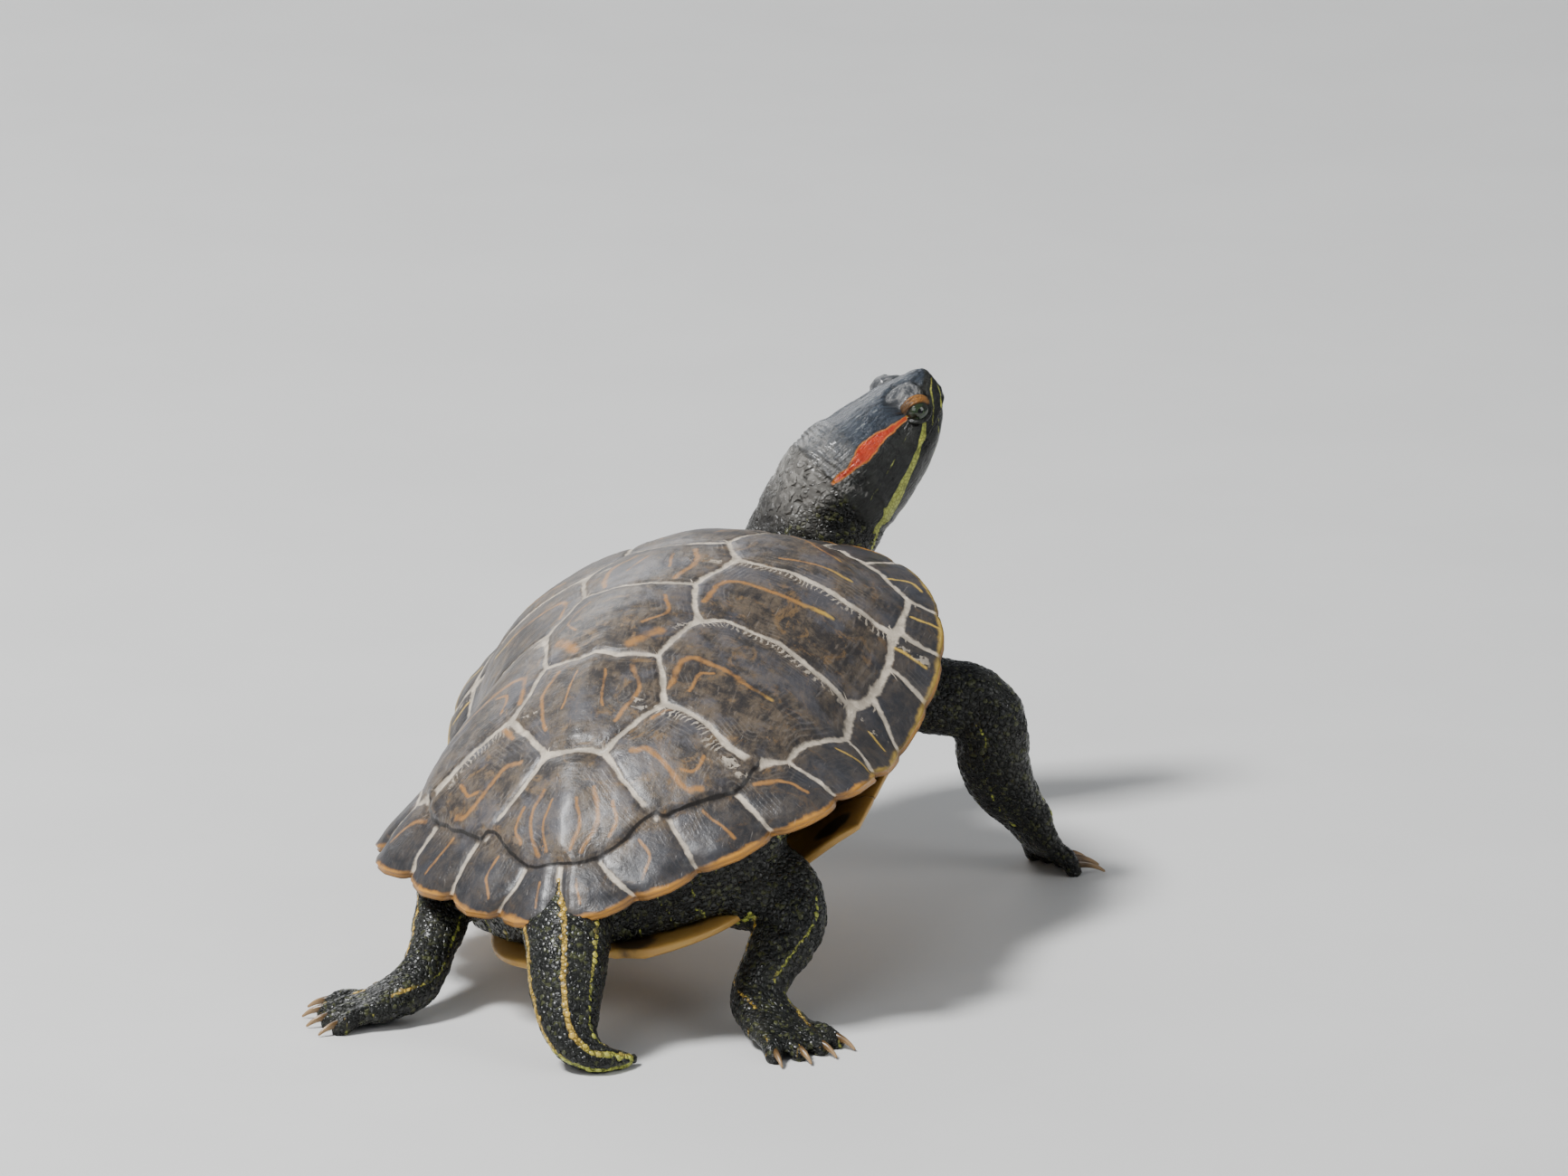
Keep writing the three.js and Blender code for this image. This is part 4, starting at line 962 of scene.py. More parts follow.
def skin_colours(t, pavement):
    """The skin's colour with its stripes, a painted sky reflection with painted glints on the crown, painted highlights
    on the orbit's dome and the neck's folds, and a mask of the nape's creases.
    """
    tone = pavement["Tone"]
    slow = t.noise(t.place(), 8, 3.0)
    crown = t.value("crown")
    colour = t.blend(t.maths("MULTIPLY", tone, 0.8), SKIN_BLACK, SKIN_GREY)
    colour = t.blend(t.maths("MULTIPLY", t.step(slow, 0.45, 0.7), 0.3), colour, (0.045, 0.045, 0.035))
    grain = {"Vector": t.value("head", "Vector"), "Scale": (0.1, 1.1, 1.1)}
    drawn = t.add("ShaderNodeMapping", grain).outputs[0]
    lines = t.add("ShaderNodeTexNoise", {"Vector": drawn, "Scale": 1.0, "Detail": 4.0, "Roughness": 0.65}).outputs["Fac"]
    # Painted sky reflection on the crown: blue-grey, with paler painted glint streaks along the head.
    crown_sheen = t.blend(t.step(lines, 0.36, 0.62), tuple(v * 0.45 for v in CROWN_SHEEN_GREY), CROWN_SHEEN_GREY)
    crown_sheen = t.blend(t.maths("MULTIPLY", t.step(lines, 0.6, 0.72), 0.55), crown_sheen, CROWN_GLINT)
    colour = t.blend(crown, colour, crown_sheen)
    nape = t.blend(t.step(slow, 0.3, 0.6), tuple(v * 0.5 for v in NAPE_GREY), NAPE_GREY)
    crackle = t.add("ShaderNodeTexNoise", {"Vector": t.value("head", "Vector"), "Scale": 0.35, "Detail": 2.0}).outputs["Color"]
    shifted = t.add("ShaderNodeVectorMath", {0: crackle, "Scale": 2.6}, operation="SCALE").outputs[0]
    shifted = t.add("ShaderNodeVectorMath", {0: t.value("head", "Vector"), 1: shifted}, operation="ADD").outputs[0]
    shifted = t.add("ShaderNodeMapping", {"Vector": shifted, "Scale": (0.26, 0.44, 0.44)}).outputs[0]
    cracks = t.add("ShaderNodeTexVoronoi", {"Vector": shifted, "Scale": 1.0}, feature="DISTANCE_TO_EDGE").outputs["Distance"]
    gap = t.maths("MULTIPLY", t.step(cracks, 0.36, 0.1), t.value("nape"))
    nape = t.blend(gap, nape, (0.008, 0.007, 0.007))
    colour = t.blend(t.value("nape"), colour, nape)
    flecks = t.step(t.maths("ADD", t.maths("MULTIPLY", tone, 0.5), slow), 0.62, 0.85)
    # Painted highlight on the neck's fold and the nape's ridge.
    colour = t.blend(t.maths("MULTIPLY", t.value("fold"), t.maths("MULTIPLY_ADD", flecks, 0.4, 0.5)), colour, FOLD_HIGHLIGHT)
    fleck_share = t.maths("MULTIPLY", t.step(tone, 0.8, 0.92), t.maths("SUBTRACT", t.value("flecks"), t.value("nape"), clamp=True))
    colour = t.blend(t.maths("MULTIPLY", fleck_share, 0.5), colour, STRIPE_GREEN)
    sheen = t.maths("MULTIPLY", t.value("dome"), t.maths("MULTIPLY_ADD", t.step(lines, 0.45, 0.62), 0.4, 0.12))
    colour = t.blend(sheen, colour, (0.34, 0.33, 0.31))
    lid = t.value("lid")
    forward = t.add("ShaderNodeSeparateXYZ", {0: t.value("head", "Vector")}).outputs[0]
    lined = t.maths("MULTIPLY", t.step(t.maths("SINE", t.maths("MULTIPLY", t.value("lid_row"), 9.0)), -0.3, 0.7), 0.5)
    orange = t.maths("ADD", t.step(forward, 10.5, 4.5), t.maths("SUBTRACT", lined, 0.35))
    lid_colour = t.blend(orange, LID_BROWN, LID_ORANGE)
    colour = t.blend(t.maths("MULTIPLY", lid, 0.85), colour, lid_colour)
    shift = t.maths("MULTIPLY", t.maths("SUBTRACT", t.noise(t.place(), 2.2), 0.5), 0.5)
    green = t.step(t.maths("ADD", t.value("green"), shift), 0.2, -0.1)
    dusk = t.maths("SUBTRACT", 0.95, t.maths("MULTIPLY", pavement["Crease"], 0.5))
    colour = t.blend(t.maths("MULTIPLY", green, dusk), colour, t.blend(t.value("top"), STRIPE_GREEN, STREAK_YELLOW))
    shift = t.maths("MULTIPLY", t.maths("SUBTRACT", t.noise(t.place(), 3.0, 4.0), 0.5), 1.4)
    red = t.step(t.maths("ADD", t.value("red"), shift), 0.2, -0.15)
    edge = t.step(t.maths("ADD", t.value("red"), shift), -0.55, -0.1)
    ripe = t.blend(t.step(t.noise(t.place(), 2.2, 3.0), 0.35, 0.7), STRIPE_RED, (0.42, 0.03, 0.01))
    ripe = t.blend(t.maths("MAXIMUM", t.maths("MULTIPLY", edge, 0.45), t.value("amber")), ripe, STRIPE_AMBER)
    colour = t.blend(t.maths("MULTIPLY", red, 0.97), colour, ripe)
    return colour, gap


def material_skin():
    """Wet-looking dark skin: a pavement of small scales, stripes, painted highlights on the folds, and painted shade
    along the head's grooves.
    """
    made, t, shader = material("turtle skin")
    pavement = t.group("Scale Pavement", {"Size": 1.15, "Crease": 0.16}).outputs
    colour, gap = skin_colours(t, pavement)
    plain = t.maths("MAXIMUM", t.maths("MULTIPLY", t.value("head_share"), 0.85), t.value("nape"))
    creased = t.maths("MULTIPLY", pavement["Crease"], t.maths("SUBTRACT", 1.0, plain))
    colour = t.blend(t.maths("MULTIPLY", creased, 0.6), colour, (0.006, 0.006, 0.005))
    # Painted shade along the mouth's line, the nape's edge and the orbit's outline.
    crease = t.value("crease")
    colour = t.blend(t.maths("MULTIPLY", crease, 0.75), colour, (0.012, 0.011, 0.009))
    t.feed(shader["Base Color"], colour)
    rough = t.maths("ADD", 0.2, t.maths("MULTIPLY", t.noise(t.place(), 5, 3.0), 0.16))
    t.feed(shader["Roughness"], t.maths("SUBTRACT", rough, t.maths("MULTIPLY", t.value("head_share"), 0.05)))
    shader["Specular IOR Level"].default_value = 0.26
    crown = t.maths("MAXIMUM", t.value("crown"), t.maths("MULTIPLY", t.value("nape"), 0.6))
    t.feed(shader["Coat Weight"], t.maths("MULTIPLY_ADD", crown, 0.22, 0.02))
    shader["Coat Roughness"].default_value = 0.1
    grain = t.maths("MULTIPLY", pavement["Height"], t.maths("SUBTRACT", 1.0, plain))
    normal = t.relief(t.maths("SUBTRACT", grain, t.maths("MULTIPLY", gap, 2.4)), 0.3)
    drawn = t.add("ShaderNodeMapping", {"Vector": t.value("head", "Vector"), "Scale": (0.16, 1.1, 1.1)}).outputs[0]
    scratches = t.add("ShaderNodeTexNoise", {"Vector": drawn, "Scale": 1.3, "Detail": 4.0, "Roughness": 0.6}).outputs["Fac"]
    normal = t.relief(t.maths("MULTIPLY", scratches, t.value("head_share")), 0.7, 1.0, normal)
    fine = t.noise(t.place(), 0.8, 3.0, 0.6)
    t.feed(shader["Normal"], t.relief(fine, 0.04, 1.0, normal))
    return made


def material_claw():
    """Horn that runs from dark brown at the root to amber at the tip, with fine lengthwise lines."""
    made, t, shader = material("claw horn")
    horn = t.group("Horn Wear", {"Size": 2.0}).outputs
    share = t.maths("ADD", t.value("reach"), t.maths("MULTIPLY", t.maths("SUBTRACT", horn["Shade"], 0.5), 0.5))
    colour = t.blend(t.step(share, 0.1, 0.75), CLAW_BROWN, CLAW_AMBER)
    t.feed(shader["Base Color"], t.blend(t.maths("MULTIPLY", horn["Wear"], 0.3), colour, (0.4, 0.32, 0.2)))
    t.feed(shader["Roughness"], t.maths("ADD", 0.22, t.maths("MULTIPLY", horn["Wear"], 0.2)))
    t.feed(shader["Normal"], t.relief(horn["Height"], 0.05))
    return made


def material_eye():
    """A dark green iris with a dark bar and a black pupil, under a clear wet surface."""
    made, t, shader = material("eye")
    parts = t.add("ShaderNodeSeparateXYZ", {0: t.value("gaze", "Vector")}).outputs
    away = t.maths("SQRT", t.maths("ADD", t.maths("POWER", parts[0], 2.0), t.maths("POWER", parts[1], 2.0)))
    rays = t.noise(t.place(), 0.5, 3.0, 0.7)
    iris = t.blend(t.step(rays, 0.35, 0.7), IRIS_GREEN, (0.02, 0.028, 0.01))
    ring = t.maths("MULTIPLY", t.step(away, 0.2, 0.24), t.step(away, 0.33, 0.27))
    iris = t.blend(t.maths("MULTIPLY", ring, 0.15), iris, (0.1, 0.16, 0.06))
    bar = t.maths("MULTIPLY", t.step(t.maths("ABSOLUTE", parts[1]), 0.2, 0.12), t.step(away, 0.2, 0.3))
    iris = t.blend(t.maths("MULTIPLY", bar, 0.85), iris, (0.012, 0.011, 0.006))
    iris = t.blend(t.step(away, 0.55, 0.72), iris, (0.02, 0.02, 0.012))
    t.feed(shader["Base Color"], t.blend(t.step(away, 0.21, 0.185), iris, (0.002, 0.002, 0.002)))
    t.feed(shader["Roughness"], t.maths("ADD", 0.1, t.maths("MULTIPLY", rays, 0.08)))
    shader["Coat Weight"].default_value = 0.35
    shader["Coat Roughness"].default_value = 0.02
    return made


def material_floor():
    """Plain pale studio floor."""
    made, t, shader = material("studio floor")
    tone = t.blend(t.step(t.noise(t.place(), 60, 3.0), 0.3, 0.7), FLOOR_GREY, tuple(v * 0.97 for v in FLOOR_GREY))
    t.feed(shader["Base Color"], tone)
    shader["Roughness"].default_value = 0.7
    return made


# ---- Shell --------------------------------------------------------------------------------------

COLUMNS = 620
TOP_RINGS = 128
HALF_WIDTH = SHELL_WIDTH / 2
DOME_THICKNESS = 4.2


def rim_columns(count):
    """Angles round the shell whose rim points stand equally far apart."""
    angles = np.linspace(-pi / 2, 3 * pi / 2, 6001)
    rim = shell_points(np.ones(len(angles)), angles)
    run = np.concatenate([[0], np.cumsum(np.linalg.norm(np.diff(rim, axis=0), axis=1))])
    return np.interp(np.linspace(0, run[-1], count, endpoint=False), run, angles)


def signed_lines(plan, lines):
    """Distance to lines of one half in folded plan, the same with the side as its sign, and the run."""
    best = np.full(len(plan), 1e9)
    sided = np.full(len(plan), 1e9)
    along = np.zeros(len(plan))
    for line in lines:
        line = np.asarray(line, float) * SHELL_LENGTH
        run = 0.0
        for a, b in zip(line[:-1], line[1:]):
            step = b - a
            length = float(np.linalg.norm(step))
            away = plan - a
            t = np.clip(away @ step / length ** 2, 0, 1)
            d = np.linalg.norm(away - t[:, None] * step, axis=1)
            across = (step[0] * away[:, 1] - step[1] * away[:, 0]) / length
            nearer = d < best
            best[nearer] = d[nearer]
            sided[nearer] = across[nearer]
            along[nearer] = run + t[nearer] * length
            run += length
    return best, sided, along


def curved(line):
    """The same run as a smooth curve."""
    rows = np.asarray(line, float)
    return read_path(rows, np.linspace(0, len(rows) - 1, 5 * (len(rows) - 1) + 1))


def folded(plan):
    """Plan points brought to one half."""
    return np.stack([np.abs(plan[:, 0]), plan[:, 1]], -1)


def carapace_marks(plan, c):
    """Seams, streaks and growth marks of the carapace at plan points: relief and attributes."""
    half = folded(seam_wander(plan))
    wandered = seam_wander(plan)
    lines = [VERTEBRAL_EDGE, SIDE_SEAM, *COSTAL_SEAMS, *CROSS_SEAMS, *marginal_seams()]
    seam, seam_side, _ = signed_lines(half, lines)
    opened, open_side, _ = signed_lines(half, [curved(OPEN_SEAM[::-1])])
    # The seam nearest among all of them sets the growth rings, but the open one is drawn by itself.
    streak_far = np.full(len(plan), 1e9)
    streak_side = np.full(len(plan), 1e9)
    for width, run in STREAKS:
        far, sided, _ = signed_lines(half, [curved(run)])
        nearer = far / width < streak_far
        streak_far[nearer] = (far / width)[nearer]
        streak_side[nearer] = (sided / width)[nearer]
    front, behind, along = signed_lines(half, COMB_FRONTS)
    x_share, y_share = np.abs(plan[:, 0]) / SHELL_LENGTH, plan[:, 1] / SHELL_LENGTH
    comb_share = smooth(behind, 0.2, 0.8) * (front < 8)
    # Seams are widest where three plates meet, and across the flank.
    junctions = np.array([VERTEBRAL_EDGE[2], VERTEBRAL_EDGE[4], VERTEBRAL_EDGE[6], VERTEBRAL_EDGE[8],
                          VERTEBRAL_EDGE[9], *(line[-1] for line in COSTAL_SEAMS), *SIDE_SEAM[5:9:3]])
    meeting = np.min(np.linalg.norm(half[:, None] - junctions * SHELL_LENGTH, axis=2), axis=1)
    seam_width = 0.62 + 0.4 * np.exp(-(meeting / 3.5) ** 2) + 0.12 * cheap_noise(wandered, 14, SEED + 5)
    seam_width = np.clip(seam_width + 0.2 * smooth(x_share, 0.12, 0.2) * (c < 0.8), 0.3, 1.3)
    groove = -0.4 * np.exp(-(seam / (seam_width + 0.35)) ** 2)
    swell = 0.45 * (1 - np.exp(-seam / 5.5))
    inside = smooth(open_side, 0.9, -0.1) * (opened < 16)
    step = 0.85 * inside * np.exp(-opened / 6.5)
    gutter = -0.55 * np.exp(-(opened / 0.7) ** 2)
    keel = 0.9 * np.exp(-(plan[:, 0] / 5.0) ** 2) * smooth(y_share, 0.0, 0.2) * smooth(seam, 0.5, 4)
    keel = keel + 0.5 * np.exp(-(plan[:, 0] / 6.0) ** 2) * smooth(y_share, 0.1, -0.3) * smooth(seam, 0.5, 4)
    lumps = 0.16 * cheap_noise(plan, 27, SEED + 7) + 0.07 * cheap_noise(plan, 9, SEED + 8)
    rings = 0.02 * np.sin(seam * 2.1 + 1.2 * cheap_noise(plan, 20, SEED + 9)) * np.exp(-seam / 10)
    pit = -0.7 * hump(np.hypot(plan[:, 0] + 6.5, plan[:, 1] - 53), 0, 2.6)
    margin, _, _ = signed_lines(half, marginal_seams()[1:])
    scallop = 0.7 * smooth(c, 0.86, 0.97) * smooth(y_share, 0.05, 0.25) * (1 - np.exp(-(margin / 5) ** 2))
    relief = groove + scallop + swell + step + gutter + keel + lumps + rings + pit
    gild = smooth(x_share, 0.19, 0.25) * smooth(y_share, 0.2, 0.1)
    marks = {
        "seam": seam, "seam_side": seam_side, "seam_width": seam_width, "open": opened, "open_side": open_side,
        "streak_far": streak_far, "streak_side": streak_side, "gild": gild,
        "comb": np.stack([along, behind, comb_share], -1), "margin": margin,
    }
    return relief, marks


def make_carapace():
    """The carapace as one fine closed shell, with its plates in relief."""
    angles = rim_columns(COLUMNS)
    top_c = np.linspace(0, 1, TOP_RINGS + 1)[1:]
    c, angle = (grid.ravel() for grid in np.meshgrid(top_c, angles, indexing="ij"))
    points = shell_points(c, angle)
    plan = points[:, :2].copy()
    relief, marks = carapace_marks(plan, c)
    drawn = 1 - rim_notch(points[:, 1]) / HALF_WIDTH * smooth(c, 0.9, 1.0)
    points[:, :2] *= drawn[:, None]
    centre = np.array([0.0, WIDEST_Y, -20.0])
    rear = smooth(points[:, 1] / SHELL_LENGTH, 0.0, 0.25)
    notch = (0.5 + 1.1 * rear) * np.exp(-(marks["margin"] / 2.0) ** 2) * smooth(c, 0.93, 1.0)
    points[:, :2] *= (1 - notch / np.linalg.norm(points[:, :2], axis=1))[:, None]
    outward = unit((points - centre) * np.array([1 / HALF_WIDTH, 2 / SHELL_LENGTH, 1 / 40]))
    points += outward * (relief * (1 - 0.6 * smooth(c, 0.95, 1.0)) - 0.45)[:, None]
    rim = points[-COLUMNS:]
    under_c = np.array([0.985, 0.96, 0.92, 0.86, 0.8, 0.74, 0.66, 0.56, 0.44, 0.3, 0.15])
    uc, ua = (grid.ravel() for grid in np.meshgrid(under_c, angles, indexing="ij"))
    under = shell_points(uc, ua)
    wall = DOME_THICKNESS + (RIM_THICKNESS - DOME_THICKNESS) * smooth(uc, 0.55, 1)
    under_drawn = 0.985 * (1 - rim_notch(under[:, 1]) / HALF_WIDTH * smooth(uc, 0.9, 1.0))
    under[:, :2] *= under_drawn[:, None]
    under[:, 2] -= wall
    lips = []
    for turn in (0.25, 0.5, 0.75):
        lip = rim * 1.0
        lip[:, :2] *= 1 - 0.006 * (1 - sin(pi * (1 - abs(turn - 0.4))))
        lip[:, 2] -= RIM_THICKNESS * turn * 0.9
        lips.append(lip)
    rings = np.vstack([points, *lips, under])
    ring_count = TOP_RINGS + len(lips) + len(under_c)
    crown = points[:COLUMNS].mean(0)
    floor = shell_points(np.array([0.001]), np.array([0.0]))[0] - [0, 0, DOME_THICKNESS]
    everything = shell_to_floor(np.vstack([rings, crown, floor]))
    count = len(points)
    rest = len(everything) - count
    rim_share = np.concatenate([c, np.linspace(1.02, 1.02, rest)])
    under_share = np.concatenate([np.zeros(count), np.full(3 * COLUMNS, 0.4), np.ones(len(under)), [0, 1]])
    side_gild = 0.9 + 0.1 * smooth(-everything[:, 0], -5, 30)
    middle = 0.4 + 0.6 * (1 - np.exp(-(marks["margin"] / 4.5) ** 2))
    lower = np.concatenate([middle, *(v * middle[-COLUMNS:] for v in (0.7, 1.0, 0.4)), np.full(len(under) + 2, 0.5)])
    attributes = {"rim": rim_share, "under": under_share, "rim_gild": side_gild * lower}
    marks.pop("margin")
    for key, values in marks.items():
        fill = np.zeros((rest, *values.shape[1:])) if key in ("comb", "gild", "seam_width") else np.full(rest, 9.0)
        attributes[key] = np.concatenate([values, fill])
    for key in ("seam", "seam_side", "open", "open_side", "streak_far", "streak_side"):
        attributes[key][-2] = attributes[key][0]
    attributes["gild"][:count] = np.maximum(attributes["gild"][:count], 0.0)
    faces = outward_faces(everything, ring_count, COLUMNS)
    return make_object("carapace_shell", everything, faces, attributes)


def outward_faces(points, rings, sides):
    """Faces of a closed stack of rings whose last two points are its hubs, turned outwards."""
    faces = np.array([face if len(face) == 4 else [*face, face[-1]] for face in ring_faces(rings, sides)])
    a, b, c, d = (points[faces[:, k]] for k in range(4))
    volume = np.einsum("ij,ij->i", a, np.cross(b, c)).sum() + np.einsum("ij,ij->i", a, np.cross(c, d)).sum()
    made = ring_faces(rings, sides)
    return [face[::-1] for face in made] if volume < 0 else made


PLASTRON_ROWS = 150
PLASTRON_ACROSS = 64
PLASTRON_SEAMS = [-60.0, -40.0, -14.0, 16.0, 46.0]
FIGURES = [    # dark figures of the plastron: side, station, half width, half length
    (15, -66, 6, 7), (20, -50, 8, 6), (24, -27, 9, 8), (26, 2, 9, 10), (24, 31, 9, 9), (18, 58, 8, 8),
    (10, 74, 5, 5), (50, -24, 5, 6), (52, 4, 5, 7), (50, 26, 5, 5),
]


def make_plastron():
    """The plastron with its bridges, seams and dark figures."""
    stations = np.linspace(PLASTRON_ENDS[0], PLASTRON_ENDS[1], PLASTRON_ROWS)
    width = plastron_half_width(stations)
    share = np.sin(np.linspace(-pi / 2, pi / 2, PLASTRON_ACROSS))
    tip = smooth(stations, 60, PLASTRON_ENDS[1])
    x = share[None] * width[:, None]
    y = stations[:, None] - ANAL_NOTCH * tip[:, None] * np.clip(1 - np.abs(x) / 14, 0, None)
    under = plastron_underside(x, stations[:, None] + 0 * x)
    rounding = 1.1 * (1 - np.sqrt(np.clip(1 - np.abs(share) ** 14, 0, 1)))[None]
    low = np.stack([x, y, under + rounding], -1)
    high = np.stack([x, y, under + PLASTRON_THICKNESS - rounding], -1)
    seam = np.minimum(np.abs(x), np.min(np.abs(y[..., None] - PLASTRON_SEAMS - 4 * np.cos(x / 12)[..., None]), axis=-1))
    seam_side = np.where(np.abs(x) <= seam + 1e-6, x, seam)
    figure = np.min([np.hypot((np.abs(x) - fx) / fw, (y - fy) / fl) * 6 - 6 for fx, fy, fw, fl in FIGURES], axis=0)
    low[..., 2] += 0.3 * np.exp(-(seam / 0.8) ** 2)
    ceiling_c, ceiling_a = (g.ravel() for g in np.meshgrid(np.linspace(0.6, 1, 60), rim_columns(240), indexing="ij"))
    ceiling = shell_points(ceiling_c, ceiling_a)
    ceiling[:, 2] -= DOME_THICKNESS + (RIM_THICKNESS - DOME_THICKNESS) * smooth(ceiling_c, 0.55, 1) + 0.5
    tree = kdtree.KDTree(len(ceiling))
    for index, point in enumerate(ceiling):
        tree.insert((point[0], point[1], 0), index)
    tree.balance()
    for r in range(PLASTRON_ROWS):
        for k in range(PLASTRON_ACROSS):
            _, index, away = tree.find((x[r, k], y[r, k], 0))
            if away < 3 and high[r, k, 2] > ceiling[index, 2]:
                high[r, k, 2] = ceiling[index, 2]
                low[r, k, 2] = min(low[r, k, 2], ceiling[index, 2] - 1.2)
    rings = np.concatenate([low, high[:, ::-1]], axis=1)
    sides = rings.shape[1]
    points = np.vstack([rings.reshape(-1, 3), rings[0].mean(0), rings[-1].mean(0)])

    def both(values):
        around = np.concatenate([values, values[:, ::-1]], axis=1)
        return np.concatenate([around.ravel(), [9, 9]])

    attributes = {"seam": both(seam), "seam_side": both(seam_side), "figure": both(figure)}
    placed = shell_to_floor(points)
    return make_object("plastron_shell", placed, outward_faces(placed, PLASTRON_ROWS, sides), attributes)


# ---- Eyes and claws -----------------------------------------------------------------------------

GAZE = {"back": -0.12, "up": 0.12}
EYE_RINGS = 40
EYE_SIDES = 56


def eye_axis(side):
    """The way an eye looks."""
    return unit(RIGHTWARD * side - FORWARD * GAZE["back"] + UPWARD * GAZE["up"])


def eye_centre(side):
    """The middle of an eye."""
    back, out, up = EYE_AT
    return on_head(back, side * out, up)


def make_eye(side, name):
    """An eyeball with a slightly raised cornea, whose pole is the middle of the pupil."""
    axis = eye_axis(side)
    across = unit(np.cross(UPWARD, axis))
    upward = np.cross(axis, across)
    polar = np.linspace(0, pi, EYE_RINGS + 2)[1:-1]
    turn = 2 * pi * np.arange(EYE_SIDES) / EYE_SIDES
    radius = EYE_RADIUS - 0.12 + 0.12 * smooth(polar, 0.75, 0.3)
    h = np.sin(polar)[:, None] * np.cos(turn)
    v = np.sin(polar)[:, None] * np.sin(turn)
    out = np.repeat(np.cos(polar)[:, None], EYE_SIDES, 1)
    local = np.stack([h, v, out], -1) * radius[:, None, None]
    rings = eye_centre(side) + local @ np.stack([across, upward, axis])
    ends = [eye_centre(side) + axis * EYE_RADIUS, eye_centre(side) - axis * (EYE_RADIUS - 0.12)]
    points = np.vstack([rings.reshape(-1, 3), ends])
    gaze = np.vstack([(local / EYE_RADIUS).reshape(-1, 3), [[0, 0, 1], [0, 0, -1]]])
    return make_object(name, points, outward_faces(points, EYE_RINGS, EYE_SIDES), {"gaze": gaze})


CLAW_RINGS = 22
CLAW_SIDES = 16


def make_claws(key, name):
    """The claws of one foot: curved, narrow, and blunt at the tip."""
    limb = LIMBS[key]
    digits = digits_of(limb)
    points, faces, reach = [], [], []
    for index in range(digits["count"]):
        run, share = claw_run(limb, index, CLAW_RINGS)
        radii = digits["claw_radius"] + (CLAW_TIP_RADIUS - digits["claw_radius"]) * share ** 0.9
        radii[-1] *= 0.55
        body, made = tapered_tube(run, radii, CLAW_SIDES, 0.8)
        body[:, 2] = np.maximum(body[:, 2], 0.02)
        faces += [[v + sum(map(len, points)) for v in face] for face in made]
        points.append(body)
        reach.append(np.concatenate([np.repeat(share, CLAW_SIDES), [0, 1]]))
    return make_object(name, np.vstack(points), faces, {"reach": np.concatenate(reach)})


# ---- Skin ---------------------------------------------------------------------------------------

TRUNK_RING = 0.86
TRUNK_CLEARANCE = 1.0
ORBIT = {"back": 8.6, "side": 5.6, "up": 4.4, "radii": (5.7, 4.6, 5.3)}
RUMP = {"angles": (0.5, 0.75), "climb": 0.86}
HEAD_END = len(HEAD_SECTIONS) - 1
NECK_END = HEAD_END + len(NECK_SECTIONS)
TAIL = {"path": TAIL_PATH, "back": (0, 1, 0.6), "foot_back": (0, 1, 0.6), "front": False}
EYE_OPENING = {"half_length": 4.1, "half_height": 2.35, "tilt": -20.0}


def wall(c):
    """Thickness of the carapace at ring c."""
    return DOME_THICKNESS + (RIM_THICKNESS - DOME_THICKNESS) * smooth(c, 0.55, 1)


def trunk_body():
    """The flesh between the two halves of the shell."""
    angles = rim_columns(140)
    rings = []
    for c in np.linspace(0.3, TRUNK_RING, 8):
        ring = shell_points(np.full(len(angles), c), angles)
        ring[:, :2] *= 0.97
        ring[:, 2] -= wall(c) + TRUNK_CLEARANCE
        rings.append(ring)
    edge = shell_points(np.full(len(angles), TRUNK_RING), angles)[:, 2]
    for c in (0.8, 0.74, 0.68, 0.59, 0.5, 0.38, 0.25):
        ring = shell_points(np.full(len(angles), c), angles)
        rear = smooth(np.sin(angles), *RUMP["angles"])
        start = 0.62 + (RUMP["climb"] - 0.62) * rear
        climb = smooth((c / TRUNK_RING - start) / (1 + 0.1 * rear - start), 0, 1)
        rest = plastron_underside(ring[:, 0], ring[:, 1]) + PLASTRON_THICKNESS + TRUNK_CLEARANCE
        ring[:, 2] = np.maximum(rest, PLASTRON_Z + (edge - 5 - PLASTRON_Z) * climb)
        rings.append(ring)
    points, faces = loft(np.array(rings))
    return shell_to_floor(points), faces


def ellipsoid_body(centre, radii):
    """An ellipsoid on the head's axes."""
    polar = np.linspace(0, pi, 18)[1:-1]
    turn = 2 * pi * np.arange(24) / 24
    ring = np.stack([np.sin(polar)[:, None] * np.cos(turn), np.sin(polar)[:, None] * np.sin(turn),
                     np.repeat(np.cos(polar)[:, None], 24, 1)], -1) * np.array(radii)
    return loft(centre + ring @ np.stack([-FORWARD, RIGHTWARD, UPWARD]))


def flesh_bodies():
    """All the bodies that the skin is drawn over."""
    bodies = [trunk_body()]
    row, _, side, above = neck_frames(np.linspace(0, NECK_END, 70))
    bodies.append(loft(rounded_rings(row[:, :3], side, above, row[:, 3], row[:, 4], row[:, 5], 44)))
    for sign in (1, -1):
        bodies.append(ellipsoid_body(on_head(ORBIT["back"], sign * ORBIT["side"], ORBIT["up"]), ORBIT["radii"]))
    for limb in LIMBS.values():
        bodies.append(limb_loft(limb, 60, 32))
        digits = digits_of(limb)
        for index in range(digits["count"]):
            root, tip, outward = digit_path(limb, index)
            knuckle = root + (tip - root) * 0.55 + np.array([0, 0, 0.9])
            nose = tip + outward * digits["radius"] * 0.8
            rows = read_path(np.array([root, knuckle, tip, nose]), np.linspace(0, 3, 10))
            radii = np.interp(np.linspace(0, 3, 10), range(4), np.array([0.9, 1.05, 1, 0.5]) * digits["radius"])
            bodies.append(tapered_tube(rows, radii, 16))
    bodies.append(limb_loft(TAIL, 60, 28))
    return bodies


